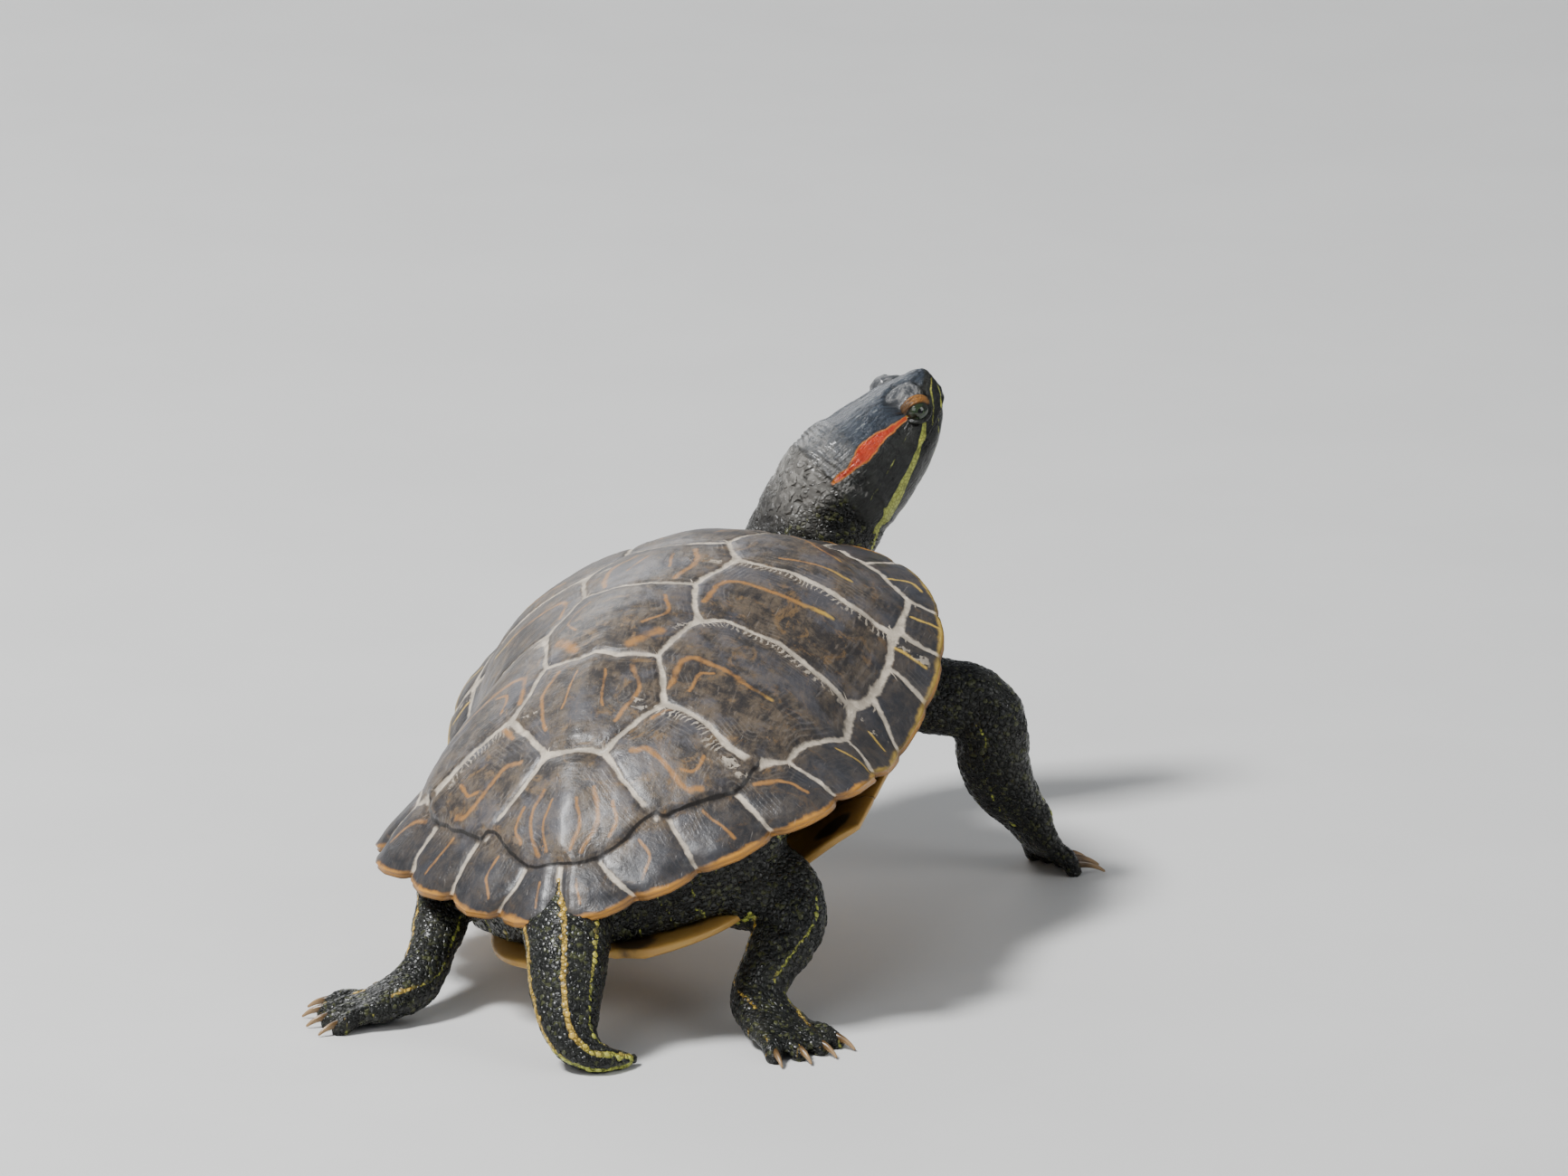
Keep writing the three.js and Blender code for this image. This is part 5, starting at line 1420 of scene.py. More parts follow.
def remeshed(bodies, voxel):
    """The union of overlapping bodies as one even mesh, given as a bmesh."""
    points, faces = [], []
    for body, made in bodies:
        base = sum(map(len, points))
        points.append(body)
        faces += [[v + base for v in face] for face in made]
    rough = make_object("rough_skin", np.vstack(points), faces)
    modifier = rough.modifiers.new("Union", "REMESH")
    modifier.mode = "VOXEL"
    modifier.voxel_size = voxel
    evaluated = rough.evaluated_get(bpy.context.evaluated_depsgraph_get())
    even = bmesh.new()
    even.from_mesh(evaluated.to_mesh())
    evaluated.to_mesh_clear()
    old = rough.data
    bpy.data.objects.remove(rough)
    bpy.data.meshes.remove(old)
    return even


def bm_points(bm):
    """The vertices of a bmesh in floor-frame millimetres."""
    return np.array([v.co[:] for v in bm.verts]) / MM - OFFSET


def put_points(bm, points):
    """Writes floor-frame millimetres back to a bmesh."""
    for vert, co in zip(bm.verts, (points + OFFSET) * MM):
        vert.co = co


def relaxed(points, edges, rounds, share=None):
    """Points evened out along edges without shrinking much; share says how much each may move."""
    points = points.copy()
    degree = np.bincount(edges.ravel(), minlength=len(points))[:, None]
    for turn in range(rounds * 2):
        total = np.zeros_like(points)
        for k in range(3):
            total[:, k] = np.bincount(edges[:, 0], points[edges[:, 1], k], len(points))
            total[:, k] += np.bincount(edges[:, 1], points[edges[:, 0], k], len(points))
        moved = (total / np.maximum(degree, 1) - points) * (0.5 if turn % 2 == 0 else -0.52)
        points += moved if share is None else moved * share[:, None]
    return points


def refine(bm, chosen):
    """Halves the edges between chosen vertices."""
    bm.verts.ensure_lookup_table()
    edges = [e for e in bm.edges if chosen[e.verts[0].index] and chosen[e.verts[1].index]]
    bmesh.ops.subdivide_edges(bm, edges=edges, cuts=1, use_grid_fill=True)
    bm.verts.index_update()
    bm.verts.ensure_lookup_table()


def bm_edges(bm):
    """The edges of a bmesh as pairs of indices."""
    return np.array([(e.verts[0].index, e.verts[1].index) for e in bm.edges])


RUNS = {"neck": None, **LIMBS, "tail": TAIL}


def run_frames(key, places):
    """Centres, axes and radii of one of the runs of flesh."""
    if key == "neck":
        row, along, side, above = neck_frames(places)
        return row[:, :3], along, side, above, (row[:, 3] + row[:, 4]) / 2
    row, along, side, above = limb_frames(RUNS[key], places)
    return row[:, :3], along, side, above, (row[:, 3] + row[:, 4]) / 2


def run_end(key):
    """The last place of a run."""
    return NECK_END if key == "neck" else len(RUNS[key]["path"]) - 1


def run_coordinates(points, key):
    """Place along a run, angle round it, distance from its middle over its radius, and that radius."""
    places = np.linspace(0, run_end(key), 16 * run_end(key) + 1)
    centres, along, side, above, radius = run_frames(key, places)
    nearest = np.zeros(len(points), int)
    best = np.full(len(points), 1e18)
    for index, centre in enumerate(centres):
        away = ((points - centre) ** 2).sum(1)
        nearer = away < best
        best[nearer] = away[nearer]
        nearest[nearer] = index
    pitch = places[1] * np.ones(len(points))
    spacing = np.linalg.norm(np.gradient(centres, axis=0), axis=1)[nearest]
    away = points - centres[nearest]
    place = np.clip(places[nearest] + (away * along[nearest]).sum(1) / spacing * pitch, 0, run_end(key))
    angle = np.arctan2((away * above[nearest]).sum(1), (away * side[nearest]).sum(1))
    return place, angle, np.sqrt(best) / radius[nearest], radius[nearest], along[nearest]


def eye_shape(points, side):
    """Lids round one eye: new points, and a mask of the lid's band."""
    centre, axis = eye_centre(side), eye_axis(side)
    tilt = radians(EYE_OPENING["tilt"])
    length_axis = unit(np.cross(UPWARD, axis)) * cos(tilt) + UPWARD * sin(tilt) * side
    length_axis = unit(length_axis - axis * (length_axis @ axis))
    height_axis = np.cross(axis, length_axis)
    away = points - centre
    radius = np.linalg.norm(away, axis=1)
    direction = away / np.maximum(radius, 1e-6)[:, None]
    facing = direction @ axis
    bend = np.arccos(np.clip(facing, -1, 1)) * EYE_RADIUS
    flat = unit(np.stack([direction @ length_axis, direction @ height_axis], -1)) * bend[:, None]
    shape = np.hypot(flat[:, 0] / EYE_OPENING["half_length"], flat[:, 1] / EYE_OPENING["half_height"])
    across = np.hypot(*flat.T)
    beyond = (shape - 1) * across / np.maximum(shape, 0.3)
    above = smooth(flat[:, 1], -0.6, 0.8)
    skin_radius = EYE_RADIUS - 1.3 + 1.6 * smooth(beyond, -0.5, 0.1)
    skin_radius += (0.35 + 0.45 * above) * smooth(beyond, 0.1, 1.0 + 0.9 * above)
    skin_radius += 0.2 * np.exp(-((beyond - 0.4) / 0.28) ** 2)
    skin_radius -= 0.28 * np.exp(-((beyond - 1.25 - 0.9 * above) / 0.25) ** 2)
    share = smooth(beyond, 2.6 + above, 1.1 + 1.1 * above) * smooth(facing, -0.15, 0.15) * (radius < 8.5)
    target = centre + direction * skin_radius[:, None]
    band = smooth(beyond, -0.3, 0.1) * smooth(beyond, 1.5 + 0.8 * above, 1.0 + 0.8 * above)
    lid = band * smooth(flat[:, 1], 0.3, 1.3) * smooth(facing, 0, 0.2) * (radius < 8)
    return points + (target - points) * share[:, None], lid, np.clip(beyond, 0, 3)


def mouth_height(back):
    """Height of the mouth's line above the head's axis."""
    share = np.clip(back / MOUTH["corner_back"], 0, 1)
    return MOUTH["front"] + (MOUTH["corner"] - MOUTH["front"]) * share - 0.9 * np.sin(pi * share)


def head_relief(points, normals):
    """Mouth, nostrils, brow and nape as moves of the skin's points, with masks of the nape, its ridge, the orbit's dome
    for a painted highlight, and the grooves for painted shade.
    """
    head = in_head(points)
    back, right, up = head.T
    near = (back > -3) & (back < 64) & (np.abs(right) < 21) & (np.abs(up) < 24)
    face = near & (back < 30)
    height = up - mouth_height(back)
    mouth = smooth(back, MOUTH["corner_back"] + 1.5, MOUTH["corner_back"] - 1) * face
    line = np.exp(-(height / 0.32) ** 2) * mouth
    overhang = 0.32 * np.exp(-((height - 0.75) / 0.6) ** 2) - 0.35 * np.exp(-((height + 0.9) / 0.8) ** 2)
    push = mouth * overhang - 0.55 * line
    for side in (1, -1):
        away = np.linalg.norm(head - np.array([0.2, side * 1.15, 4.9]), axis=1)
        push = push - 0.7 * np.exp(-(away / 0.55) ** 2) * face
    brow = np.array([(3.6, 3.3, 7.2), (6, 4.9, 7.9), (9, 6.6, 8.2), (12.5, 7.8, 7.6)])
    folded_head = np.stack([back, np.abs(right), up], -1)
    push = push + 0.38 * np.exp(-(widths_along(folded_head, [(*b, 0) for b in brow]) / 1.1) ** 2) * face
    out = folded_head - np.array([ORBIT["back"], ORBIT["side"], ORBIT["up"]])
    mound = np.linalg.norm(out / np.array(ORBIT["radii"]), axis=1)
    # The orbit's outline is cut in as a groove, and the same line carries painted shade.
    outline = np.exp(-((mound - 1.12) / 0.08) ** 2) * face * smooth(up, -2.5, 0.5)
    push = push - 0.6 * outline
    dome = smooth(mound, 1.16, 1.06) * smooth(up, 3.5, 5.5) * face
    wrinkles = np.sin(back * 3.1 + 0.8 * cheap_noise(points, 5, SEED + 22)) * smooth(mound, 1.15, 1.0) * (up > 3)
    push = push + 0.07 * wrinkles * face
    rise = head - np.array([ORBIT["back"] + 0.6, -ORBIT["side"] - 0.4, ORBIT["up"] + 3.4])
    push = push + 1.7 * np.exp(-((rise / np.array([3.4, 3.2, 3.4])) ** 2).sum(1)) * face
    nape = smooth(back, 36.3, 37.2) * smooth(back, 62, 54) * smooth(up, 1.5, 6) * near
    edge_line = np.exp(-((back - 36.6 + 0.035 * right ** 2 * 0.5) / 0.35) ** 2) * smooth(up, 3, 8) * near
    ridge = hump(back, 56, 3.4) * smooth(up, 5, 9) * near
    push = push + 0.7 * ridge - 0.14 * edge_line
    push = push + 0.06 * cheap_noise(points, 4, SEED + 21) * face
    return points + normals * push[:, None], head, near, nape * (1 - 0.9 * ridge), ridge, dome, np.maximum(line, np.maximum(edge_line, 0.75 * outline))


def limb_relief(points, normals, coordinates, region):
    """Folds and lumps of neck, limbs and tail."""
    push = np.zeros(len(points))
    for index, key in enumerate(RUNS):
        place, angle, away, radius, _ = coordinates[key]
        mine = region == index
        if key == "neck":
            fold = np.sin(place * 9.5 + 1.3 * cheap_noise(points, 16, SEED + 30)) * smooth(place, 9.0, 9.8)
            push += mine * (0.55 * fold - 0.45 * np.abs(fold) ** 4) * 0.5
            continue
        bends = np.sin(place * 7.3 + 1.5 * cheap_noise(points, 12, SEED + 31 + index))
        joint = hump(place, 3.2, 0.9) + 0.8 * hump(place, 6.2, 0.7) if key != "tail" else 0.35
        push += mine * joint * 0.3 * (bends - 0.5 * bends ** 4)
        push += mine * 0.1 * cheap_noise(points, 6, SEED + 40 + index)
    return points + normals * push[:, None]


def stripe_distances(points, head, near, coordinates, region):
    """Signed distances to the green and the red stripes, below nought inside them."""
    folded_head = np.stack([head[:, 0], np.abs(head[:, 1]), head[:, 2]], -1)
    far = np.where(near, 0.0, 50.0)
    red = widths_along(folded_head, RED_STRIPE) + far
    green = widths_along(folded_head, JAW_STRIPE) + far
    for run in FINE_STRIPES:
        green = np.minimum(green, widths_along(folded_head, run) + far)
    shell_place = floor_to_shell(points)
    across = shell_place[:, 0] + 0.8 * cheap_noise(points, 14, SEED + 60)
    rump = (shell_place[:, 1] > 40) & (coordinates["tail"][2] > 1.2) & (coordinates["leg_left"][2] > 1.25)
    rump &= (coordinates["leg_right"][2] > 1.25) & (shell_place[:, 2] < 2)
    green = np.minimum(green, np.abs((across + 900) % 6.5 - 3.25) - 0.12 + np.where(rump, 0, 50.0))
    for index, key in enumerate(RUNS):
        place, angle, away, radius, _ = coordinates[key]
        mine = np.where(region == index, 0.0, 50.0)
        lines = LIMB_LINES.get(key, [])
        if key == "neck":
            lines = [(a, 0.14 + 0.3 * (k % 2), 8.6, 11.5) for k, a in enumerate((228, 252, 290, 315))]
        for line_angle, half, first, last in lines:
            turn = (angle - radians(line_angle) + pi) % (2 * pi) - pi
            ends = np.maximum(first - place, place - last) * 8
            green = np.minimum(green, np.maximum(np.abs(turn) * radius - half, ends) + mine)
    return red, green


def make_skin(settings):
    """One skin over trunk, head, neck, limbs and tail, refined on the head."""
    bm = remeshed(flesh_bodies(), settings.voxel)
    points = relaxed(bm_points(bm), bm_edges(bm), 3)
    head = in_head(points)
    share = smooth(head[:, 0], 20, 27) * smooth(head[:, 0], 66, 58) * (np.abs(head[:, 1]) < 22) * (np.abs(head[:, 2]) < 24)
    points = relaxed(points, bm_edges(bm), 14, share)
    put_points(bm, points)
    thin_out_inside(bm)
    for reach in ("head", "eyes"):
        points = bm_points(bm)
        head = in_head(points)
        if reach == "head":
            chosen = (head[:, 0] > -3) & (head[:, 0] < 50) & (np.abs(head[:, 1]) < 20) & (np.abs(head[:, 2]) < 22)
        else:
            chosen = np.zeros(len(points), bool)
            for side in (1, -1):
                chosen |= np.linalg.norm(points - eye_centre(side) - eye_axis(side) * 2, axis=1) < 5.6
            chosen |= (head[:, 0] < 2.2) & (np.abs(head[:, 1]) < 6) & (np.abs(head[:, 2]) < 9)
        refine(bm, chosen)
        points = bm_points(bm)
        head = in_head(points)
        share = smooth(head[:, 0], 52, 46) * (np.abs(head[:, 1]) < 20) * (np.abs(head[:, 2]) < 22)
        points = relaxed(points, bm_edges(bm), 2, share)
        band = smooth(head[:, 0], 14, 22) * smooth(head[:, 0], 50, 44)
        put_points(bm, relaxed(points, bm_edges(bm), 22, share * band))
    bm.normal_update()
    bmesh.ops.recalc_face_normals(bm, faces=bm.faces)
    mesh = bpy.data.meshes.new("turtle_skin")
    bm.to_mesh(mesh)
    bm.free()
    return shaped_skin(mesh)


def thin_out_inside(bm):
    """Fewer faces where the shell hides the flesh."""
    points = bm_points(bm)
    pitch, roll = -radians(NOSE_UP), radians(LEFT_DOWN)
    rx = np.array([[1, 0, 0], [0, cos(pitch), -sin(pitch)], [0, sin(pitch), cos(pitch)]])
    ry = np.array([[cos(roll), 0, sin(roll)], [0, 1, 0], [-sin(roll), 0, cos(roll)]])
    local = (points - np.array([0, 0, SHELL_CENTRE_HEIGHT])) @ (rx @ ry)
    reach = np.hypot(local[:, 0] / 66, (local[:, 1] - 2) / 84)
    inside = (reach < 0.74) & (local[:, 2] > PLASTRON_Z + 2) & (local[:, 2] < DOME_HEIGHT)
    hidden = np.nonzero(inside)[0]
    chosen = set(hidden.tolist())
    bm.verts.ensure_lookup_table()
    rng = np.random.default_rng(SEED + 50)
    for _ in range(3):
        edges = [e for e in bm.edges if e.verts[0].index in chosen and e.verts[1].index in chosen]
        taken, picked = set(), []
        for k in rng.permutation(len(edges)):
            a, b = (v.index for v in edges[k].verts)
            ring = {a, b}
            if ring & taken:
                continue
            picked.append(edges[k])
            taken |= {v.index for end in edges[k].verts for f in end.link_faces for v in f.verts}
        marks = {v.index for e in picked for v in e.verts}
        layer = bm.verts.layers.int.get("inner") or bm.verts.layers.int.new("inner")
        bm.verts.ensure_lookup_table()
        for v in bm.verts:
            v[layer] = int(v.index in chosen)
        bmesh.ops.collapse(bm, edges=picked)
        bm.verts.index_update()
        bm.verts.ensure_lookup_table()
        chosen = {v.index for v in bm.verts if v[layer]}
    bmesh.ops.triangulate(bm, faces=[f for f in bm.faces if len(f.verts) > 4])


def tile_coordinates(place, angle, end, index):
    """A place on the skin's own unwrap: each run of flesh has a tile."""
    u = (index % 4 + 0.06 + 0.88 * place / end) / 4
    v = (index // 4 + 0.06 + 0.88 * (angle / (2 * pi) + 0.5)) / 2
    return np.stack([u, v, 0 * u], -1)


# The lower edge of the head's top, which carries a painted blue-grey sky reflection: how far back, and how high above
# the axis.
CROWN_EDGE = [
    (-2, 6.6), (2, 4.6), (5.4, 7.6), (7, 5.9), (11, 4.5), (13, 4.1), (21, 6.2), (26.8, 7.2), (31.5, 5.4), (36.3, 6), (40, 6),
]


def shaped_skin(mesh):
    """Lids, mouth, folds and marks on the skin's mesh, painted highlights and painted shade among the marks, as a
    finished object.
    """
    points = mesh_points(mesh) / MM - OFFSET
    normals = mesh_normals(mesh)
    points, head, near, nape, ridge, dome, groove_shade = head_relief(points, normals)
    coordinates = {key: run_coordinates(points, key) for key in RUNS}
    away = np.stack([coordinates[key][2] for key in RUNS], -1)
    region = away.argmin(1)
    closeness = away.min(1)
    points = limb_relief(points, normals, coordinates, region)
    lid, lid_row = np.zeros((2, len(points)))
    for side in (1, -1):
        points, band, row = eye_shape(points, side)
        lid = np.maximum(lid, band)
        lid_row = np.where(band > 0, row, lid_row)
    points[:, 2] = np.maximum(points[:, 2], 0.0)
    mesh.vertices.foreach_set("co", ((points + OFFSET) * MM).astype(np.float32).ravel())
    mesh.update()
    normals = mesh_normals(mesh)
    red, green = stripe_distances(points, head, near, coordinates, region)
    head_share = smooth(head[:, 0], 39, 36) * near
    top = smooth(normals @ UPWARD, -0.05, 0.5)
    neck_place = coordinates["neck"][0]
    limit = np.interp(head[:, 0], *np.array(CROWN_EDGE).T)
    # The head's top above that edge, where the skin carries a painted sky reflection.
    crown = smooth(head[:, 2] - limit + 0.3 * cheap_noise(head, 6, SEED + 70), -0.5, 0.5) * head_share * (1 - lid)
    # Painted highlight on the top-facing side of the neck's fold, and along the nape's ridge.
    fold = (region == 0) * (0.85 * hump(neck_place, 10.1, 0.55) + 0.06 * smooth(neck_place, 8.2, 9)) * smooth(top, 0, 0.5)
    fold = np.maximum(fold, 0.85 * ridge)
    along = np.zeros_like(points)
    tile = np.zeros_like(points)
    size = np.ones(len(points))
    for index, key in enumerate(RUNS):
        mine = region == index
        place, angle = coordinates[key][:2]
        if key.startswith("arm"):
            outer = pi if key == "arm_right" else 0
            turn = (angle - outer + pi) % (2 * pi) - pi
            edge = np.exp(-(turn / 0.5) ** 2) * smooth(place, 3.4, 4.4) * smooth(place, 8, 7.2)
            size = np.where(mine, 1 + 0.9 * edge, size)
        along[mine] = coordinates[key][4][mine]
        tile[mine] = tile_coordinates(place, angle, run_end(key), index)[mine]
    is_neck = region == 0
    density = smooth(closeness, 1.75, 1.35) * (1 - smooth(head[:, 0], 40, 36) * near)
    density = density * np.where(is_neck, smooth(neck_place, HEAD_END + 0.8, HEAD_END + 1.6), 1)
    density = density * smooth(points[:, 2], 0.4, 1.2) * (1 - smooth(np.maximum(nape, ridge), 0.05, 0.4))
    attributes = {
        "head_share": head_share, "crown": crown, "dome": dome * (1 - lid), "top": top, "fold": fold, "red": red, "green": green,
        "amber": smooth(head[:, 0], 15.5, 12.5), "crease": np.clip(groove_shade, 0, 1),
        "flecks": np.where(is_neck, 0.25, 0.15) * (1 - head_share), "lid": lid, "lid_row": lid_row,
        "nape": nape, "head": np.where(near[:, None], head, 0.0), "lie": along, "root_uv": tile, "scale_density": density, "scale_size": size,
    }
    for key, values in attributes.items():
        add_attribute(mesh, key, values)
    mesh.shade_smooth()
    skin = bpy.data.objects.new("turtle_skin", mesh)
    bpy.context.scene.collection.objects.link(skin)
    return skin


# ---- Scales, by Geometry Nodes ------------------------------------------------------------------

PATCH = 0.003


def scale_mesh():
    """One small scale: a thin domed hexagon that rises a little towards its free end."""
    turn = 2 * pi * np.arange(6) / 6
    ring = np.stack([np.cos(turn) * 0.5, np.sin(turn) * 0.56, 0 * turn], -1)
    inner = ring * np.array([0.66, 0.66, 1]) + np.array([0, 0.03, 0.06])
    outer = ring + np.stack([0 * turn, 0 * turn, -0.02 + 0.05 * np.sin(turn)], -1)
    points = np.vstack([[0, 0.05, 0.08], inner, outer, [0, 0, -0.12]])
    faces = []
    for k in range(6):
        n = (k + 1) % 6
        faces += [(0, 1 + k, 1 + n), (1 + k, 7 + k, 7 + n, 1 + n), (13, 7 + n, 7 + k)]
    mesh = bpy.data.meshes.new("scale_pattern")
    mesh.from_pydata((points * MM).tolist(), [], faces)
    add_attribute(mesh, "patch", points * np.array([1, 1, 0]))
    mesh.shade_smooth()
    pattern = bpy.data.objects.new("scale_pattern", mesh)
    bpy.context.scene.collection.objects.link(pattern)
    return pattern


def scales_tree(material_used):
    """Scatters scales over a skin: inputs are the pattern, the spacing, the seed and the size."""
    tree = bpy.data.node_groups.new("Scatter Scales", "GeometryNodeTree")
    for key, kind, value in (
        ("Geometry", "NodeSocketGeometry", None), ("Pattern", "NodeSocketObject", None),
        ("Spacing", "NodeSocketFloat", 0.0018), ("Most", "NodeSocketFloat", 600000.0),
        ("Size", "NodeSocketFloat", 1.0), ("Seed", "NodeSocketInt", 1),
    ):
        socket = tree.interface.new_socket(key, in_out="INPUT", socket_type=kind)
        if value is not None:
            socket.default_value = value
    tree.interface.new_socket("Geometry", in_out="OUTPUT", socket_type="NodeSocketGeometry")
    t = Tree(tree)
    given = t.add("NodeGroupInput").outputs
    named = lambda name, kind: t.add("GeometryNodeInputNamedAttribute", {"Name": name}, data_type=kind).outputs["Attribute"]
    scatter = t.add("GeometryNodeDistributePointsOnFaces", {
        "Mesh": given["Geometry"], "Distance Min": given["Spacing"], "Density Max": given["Most"],
        "Density Factor": named("scale_density", "FLOAT"), "Seed": given["Seed"],
    }, distribute_method="POISSON")
    upright = t.add("FunctionNodeAlignRotationToVector", {"Vector": scatter.outputs["Normal"]}, axis="Z").outputs[0]
    lying = t.add("FunctionNodeAlignRotationToVector", {"Rotation": upright, "Vector": named("lie", "FLOAT_VECTOR")},
                  axis="Y", pivot_axis="Z").outputs[0]
    varied = t.add("FunctionNodeRandomValue", {"Min": 0.82, "Max": 1.18, "Seed": given["Seed"]}, data_type="FLOAT")
    varied_out = [o for o in varied.outputs if o.enabled][0]
    size = t.maths("MULTIPLY", t.maths("MULTIPLY", named("scale_size", "FLOAT"), given["Size"]), varied_out)
    pattern = t.add("GeometryNodeObjectInfo", {"Object": given["Pattern"]}).outputs["Geometry"]
    placed = t.add("GeometryNodeInstanceOnPoints", {
        "Points": scatter.outputs["Points"], "Instance": pattern, "Rotation": lying, "Scale": size,
    })
    real = t.add("GeometryNodeRealizeInstances", {"Geometry": placed.outputs[0]})
    patch = t.add("ShaderNodeVectorMath", {0: named("patch", "FLOAT_VECTOR"), "Scale": PATCH}, operation="SCALE").outputs[0]
    place = t.add("ShaderNodeVectorMath", {0: named("root_uv", "FLOAT_VECTOR"), 1: patch}, operation="ADD").outputs[0]
    store = t.add("GeometryNodeStoreNamedAttribute", {"Geometry": real.outputs[0], "Name": "OFBake", "Value": place},
                  data_type="FLOAT2", domain="CORNER")
    finish = t.add("GeometryNodeSetMaterial", {"Geometry": store.outputs[0], "Material": material_used})
    t.feed(t.add("NodeGroupOutput").inputs[0], finish.outputs[0])
    return tree


def make_scales(name, skin, pattern, tree, values):
    """The scales of one kind as a mesh of their own."""
    carrier = bpy.data.objects.new(name, skin.data.copy())
    bpy.context.scene.collection.objects.link(carrier)
    modifier = carrier.modifiers.new("Scales", "NODES")
    modifier.node_group = tree
    keys = {item.name: item.identifier for item in tree.interface.items_tree if item.in_out == "INPUT"}
    modifier[keys["Pattern"]] = pattern
    for key, value in values.items():
        modifier[keys[key]] = value
    evaluated = carrier.evaluated_get(bpy.context.evaluated_depsgraph_get())
    made = bpy.data.meshes.new_from_object(evaluated)
    made.name = name
    carrier.modifiers.remove(modifier)
    old = carrier.data
    carrier.data = made
    bpy.data.meshes.remove(old)
    return carrier


def material_scales():
    """The scales' own horn: the skin's colours, a little greyer and glossier."""
    made, t, shader = material("small scales")
    pavement = t.group("Scale Pavement", {"Size": 1.6, "Crease": 0.05}).outputs
    colour, _ = skin_colours(t, pavement)
    grey = t.step(t.noise(t.place(), 4, 3.0), 0.45, 0.75)
    colour = t.blend(t.maths("MULTIPLY", grey, 0.2), colour, (0.07, 0.072, 0.068))
    t.feed(shader["Base Color"], colour)
    horn = t.group("Horn Wear", {"Size": 2.0}).outputs
    t.feed(shader["Roughness"], t.maths("ADD", 0.16, t.maths("MULTIPLY", horn["Shade"], 0.25)))
    shader["Specular IOR Level"].default_value = 0.36
    t.feed(shader["Normal"], t.relief(horn["Height"], 0.03))
    return made


# ---- Stage --------------------------------------------------------------------------------------

CAMERA = {"at": (-1000.8, 3493.1, 1169.2), "target": (-28.9, -18.4, 89.9), "lens": 348.04, "sensor": 36.0}
SOFTBOXES = [    # name, place, aim, size across in metres, power in watts
    ("key softbox", (900, 650, 1800), (0, 0, 60), 0.4, 76),
    ("front softbox", (1500, -2100, 1300), (0, 0, 60), 1.5, 24),
    ("side softbox", (-2300, 500, 1300), (0, 0, 60), 1.3, 16),
    ("fill softbox", (900, 2700, 1900), (0, 0, 60), 1.8, 24),
]


def place_of(point):
    """A floor-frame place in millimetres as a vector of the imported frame, in metres."""
    return Vector((np.asarray(point, float) + OFFSET) * MM)


def aim(thing, target):
    """Turns a camera or a light towards a place, upright."""
    direction = place_of(target) - thing.location
    thing.rotation_euler = direction.to_track_quat("-Z", "Y").to_euler()


def make_stage(settings):
    """Floor, soft lights, world and camera."""
    scene = bpy.context.scene
    half = 3.0
    mesh = bpy.data.meshes.new("studio_floor")
    corners = [(-half, -half, 0), (half, -half, 0), (half, half, 0), (-half, half, 0)]
    mesh.from_pydata(corners, [], [(0, 1, 2, 3)])
    floor = bpy.data.objects.new("studio_floor", mesh)
    scene.collection.objects.link(floor)
    mesh.materials.append(material_floor())
    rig.stage(floor)
    for name, place, target, across, power in SOFTBOXES:
        lamp = bpy.data.lights.new(name, "AREA")
        lamp.shape = "SQUARE"
        lamp.size = across
        lamp.energy = power * settings.light
        box = bpy.data.objects.new(name, lamp)
        scene.collection.objects.link(box)
        box.location = place_of(place)
        aim(box, target)
    world = bpy.data.worlds.new("studio")
    world.use_nodes = True
    world.node_tree.nodes["Background"].inputs["Color"].default_value = (0.86, 0.92, 1.0, 1)
    world.node_tree.nodes["Background"].inputs["Strength"].default_value = settings.ambient
    scene.world = world
    lens = bpy.data.cameras.new("camera")
    lens.sensor_width = CAMERA["sensor"]
    lens.lens = CAMERA["lens"]
    lens.clip_end = 50
    camera = bpy.data.objects.new("camera", lens)
    scene.collection.objects.link(camera)
    camera.location = place_of(CAMERA["at"])
    aim(camera, CAMERA["target"])
    scene.camera = camera


# ---- Add-on: settings, one operator for each piece or group of like pieces, and a panel ---------

class TurtleStageSettings(bpy.types.PropertyGroup):
    """How bright the studio is."""

    light: bpy.props.FloatProperty(
        name="Light", description="Strength of the softboxes", default=1.0, min=0.0, subtype="FACTOR"
    )
    ambient: bpy.props.FloatProperty(
        name="Ambient", description="Strength of the even light from all round", default=0.24, min=0.0
    )


class TurtleSkinSettings(bpy.types.PropertyGroup):
    """How fine the skin is."""

    voxel: bpy.props.FloatProperty(
        name="Voxel", description="Size of the skin's faces before the head is refined",
        default=0.00108, min=0.0005, unit="LENGTH",
    )
    scale_gap: bpy.props.FloatProperty(
        name="Scale spacing", description="Least distance between the roots of limb scales",
        default=0.0015, min=0.0008, unit="LENGTH",
    )


def run_guarded(operator, work):
    """Runs the work of an operator, and raises what goes wrong so that a script stops there."""
    try:
        work()
    except Exception as problem:
        operator.report({"ERROR"}, str(problem))
        raise
    return {"FINISHED"}


class TURTLE_OT_stage(bpy.types.Operator):
    """Adds the floor, the lights and the camera"""

    bl_idname = "turtle.stage"
    bl_label = "Stage"

    def execute(self, context):
        return run_guarded(self, lambda: make_stage(context.scene.turtle_stage))


class TURTLE_OT_shell(bpy.types.Operator):
    """Adds the carapace and the plastron with their horn plates"""

    bl_idname = "turtle.shell"
    bl_label = "Shell"

    def execute(self, context):
        def work():
            finish_piece(make_carapace(), "carapace", ["carapace"], material_carapace())
            finish_piece(make_plastron(), "plastron", ["plastron"], material_plastron())

        return run_guarded(self, work)


class TURTLE_OT_eyes(bpy.types.Operator):
    """Adds both eyeballs"""

    bl_idname = "turtle.eyes"
    bl_label = "Eyes"

    def execute(self, context):
        def work():
            wet = material_eye()
            for side, name in ((1, "right"), (-1, "left")):
                finish_piece(make_eye(side, f"eyeball_{name}"), "eye", [f"eye_{name}"], wet)

        return run_guarded(self, work)


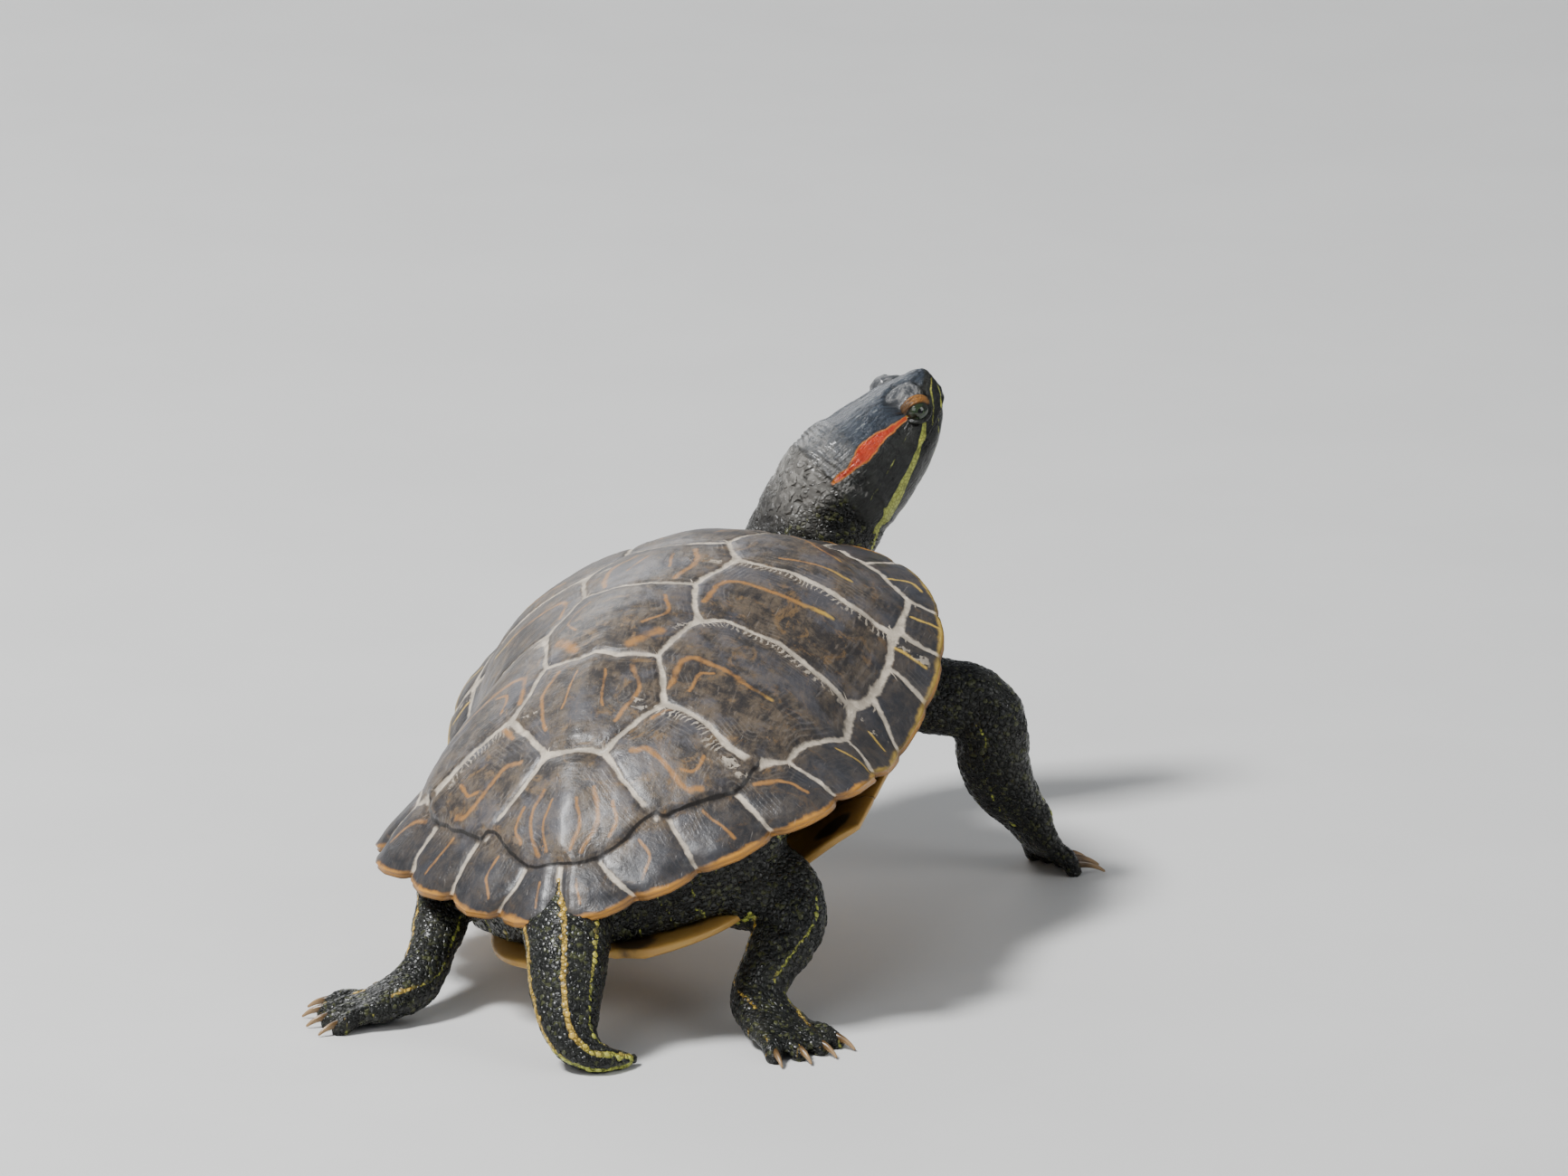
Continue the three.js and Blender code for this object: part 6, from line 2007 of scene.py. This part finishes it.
class TURTLE_OT_claws(bpy.types.Operator):
    """Adds the claws of the four feet"""

    bl_idname = "turtle.claws"
    bl_label = "Claws"

    def execute(self, context):
        def work():
            horn = material_claw()
            for key, limb in LIMBS.items():
                foot = ("hand_" if limb["front"] else "foot_") + key.split("_")[1]
                nodes = [f"claw_{foot}_{index + 1}" for index in range(digits_of(limb)["count"])]
                finish_piece(make_claws(key, f"claws_{foot}"), "claw", nodes, horn)

        return run_guarded(self, work)


SOFT_NODES = [
    "trunk", "head", "jaw", "neck", "tail",
    *(f"{part}_{side}" for side in ("right", "left")
      for part in ("upper_arm", "forearm", "hand", "thigh", "shin", "foot")),
]


class TURTLE_OT_skin(bpy.types.Operator):
    """Adds the skin of head, neck, limbs, tail and trunk"""

    bl_idname = "turtle.skin"
    bl_label = "Skin"

    def execute(self, context):
        def work():
            finish_piece(make_skin(context.scene.turtle_skin), "skin", SOFT_NODES, material_skin())

        return run_guarded(self, work)


class TURTLE_OT_scales(bpy.types.Operator):
    """Scatters small scales over the limbs, the neck and the tail"""

    bl_idname = "turtle.scales"
    bl_label = "Scales"

    def execute(self, context):
        def work():
            pattern = scale_mesh()
            horn = material_scales()
            tree = scales_tree(horn)
            skin = bpy.data.objects["turtle_skin"]
            values = {"Spacing": context.scene.turtle_skin.scale_gap, "Size": 1.55, "Seed": SEED}
            finish_piece(make_scales("limb_scales", skin, pattern, tree, values), "skin", [], horn)
            mesh = pattern.data
            bpy.data.objects.remove(pattern)
            bpy.data.meshes.remove(mesh)

        return run_guarded(self, work)


class TURTLE_PT_panel(bpy.types.Panel):
    """Lists the settings and the steps"""

    bl_label = "Turtle"
    bl_idname = "TURTLE_PT_panel"
    bl_space_type = "VIEW_3D"
    bl_region_type = "UI"
    bl_category = "Turtle"

    def draw(self, context):
        layout = self.layout
        for group, keys in (("turtle_stage", ("light", "ambient")), ("turtle_skin", ("voxel", "scale_gap"))):
            for key in keys:
                layout.prop(getattr(context.scene, group), key)
        for step in STEPS:
            layout.operator(step.bl_idname)


STEPS = [
    TURTLE_OT_stage, TURTLE_OT_shell, TURTLE_OT_skin, TURTLE_OT_scales, TURTLE_OT_eyes, TURTLE_OT_claws,
]
CLASSES = [TurtleStageSettings, TurtleSkinSettings, *STEPS, TURTLE_PT_panel]


def register():
    """Registers the classes and their settings."""
    for made in CLASSES:
        bpy.utils.register_class(made)
    bpy.types.Scene.turtle_stage = bpy.props.PointerProperty(type=TurtleStageSettings)
    bpy.types.Scene.turtle_skin = bpy.props.PointerProperty(type=TurtleSkinSettings)


def unregister():
    """Takes them away again."""
    del bpy.types.Scene.turtle_skin
    del bpy.types.Scene.turtle_stage
    for made in reversed(CLASSES):
        bpy.utils.unregister_class(made)


def main():
    """Builds the whole turtle on its stage and writes both boxes."""
    register()
    for make_group in (group_band, group_horn, group_scales):
        make_group()
    for step in STEPS:
        getattr(bpy.ops.turtle, step.bl_idname.split(".")[1])()
    sizes = {
        "cad": [list(corner) for corner in CAD_BOX],
        "visual": [list(corner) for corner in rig.bounds()],
    }
    with open("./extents.json", "w") as out:
        json.dump(sizes, out)


if __name__ == "__main__":
    main()
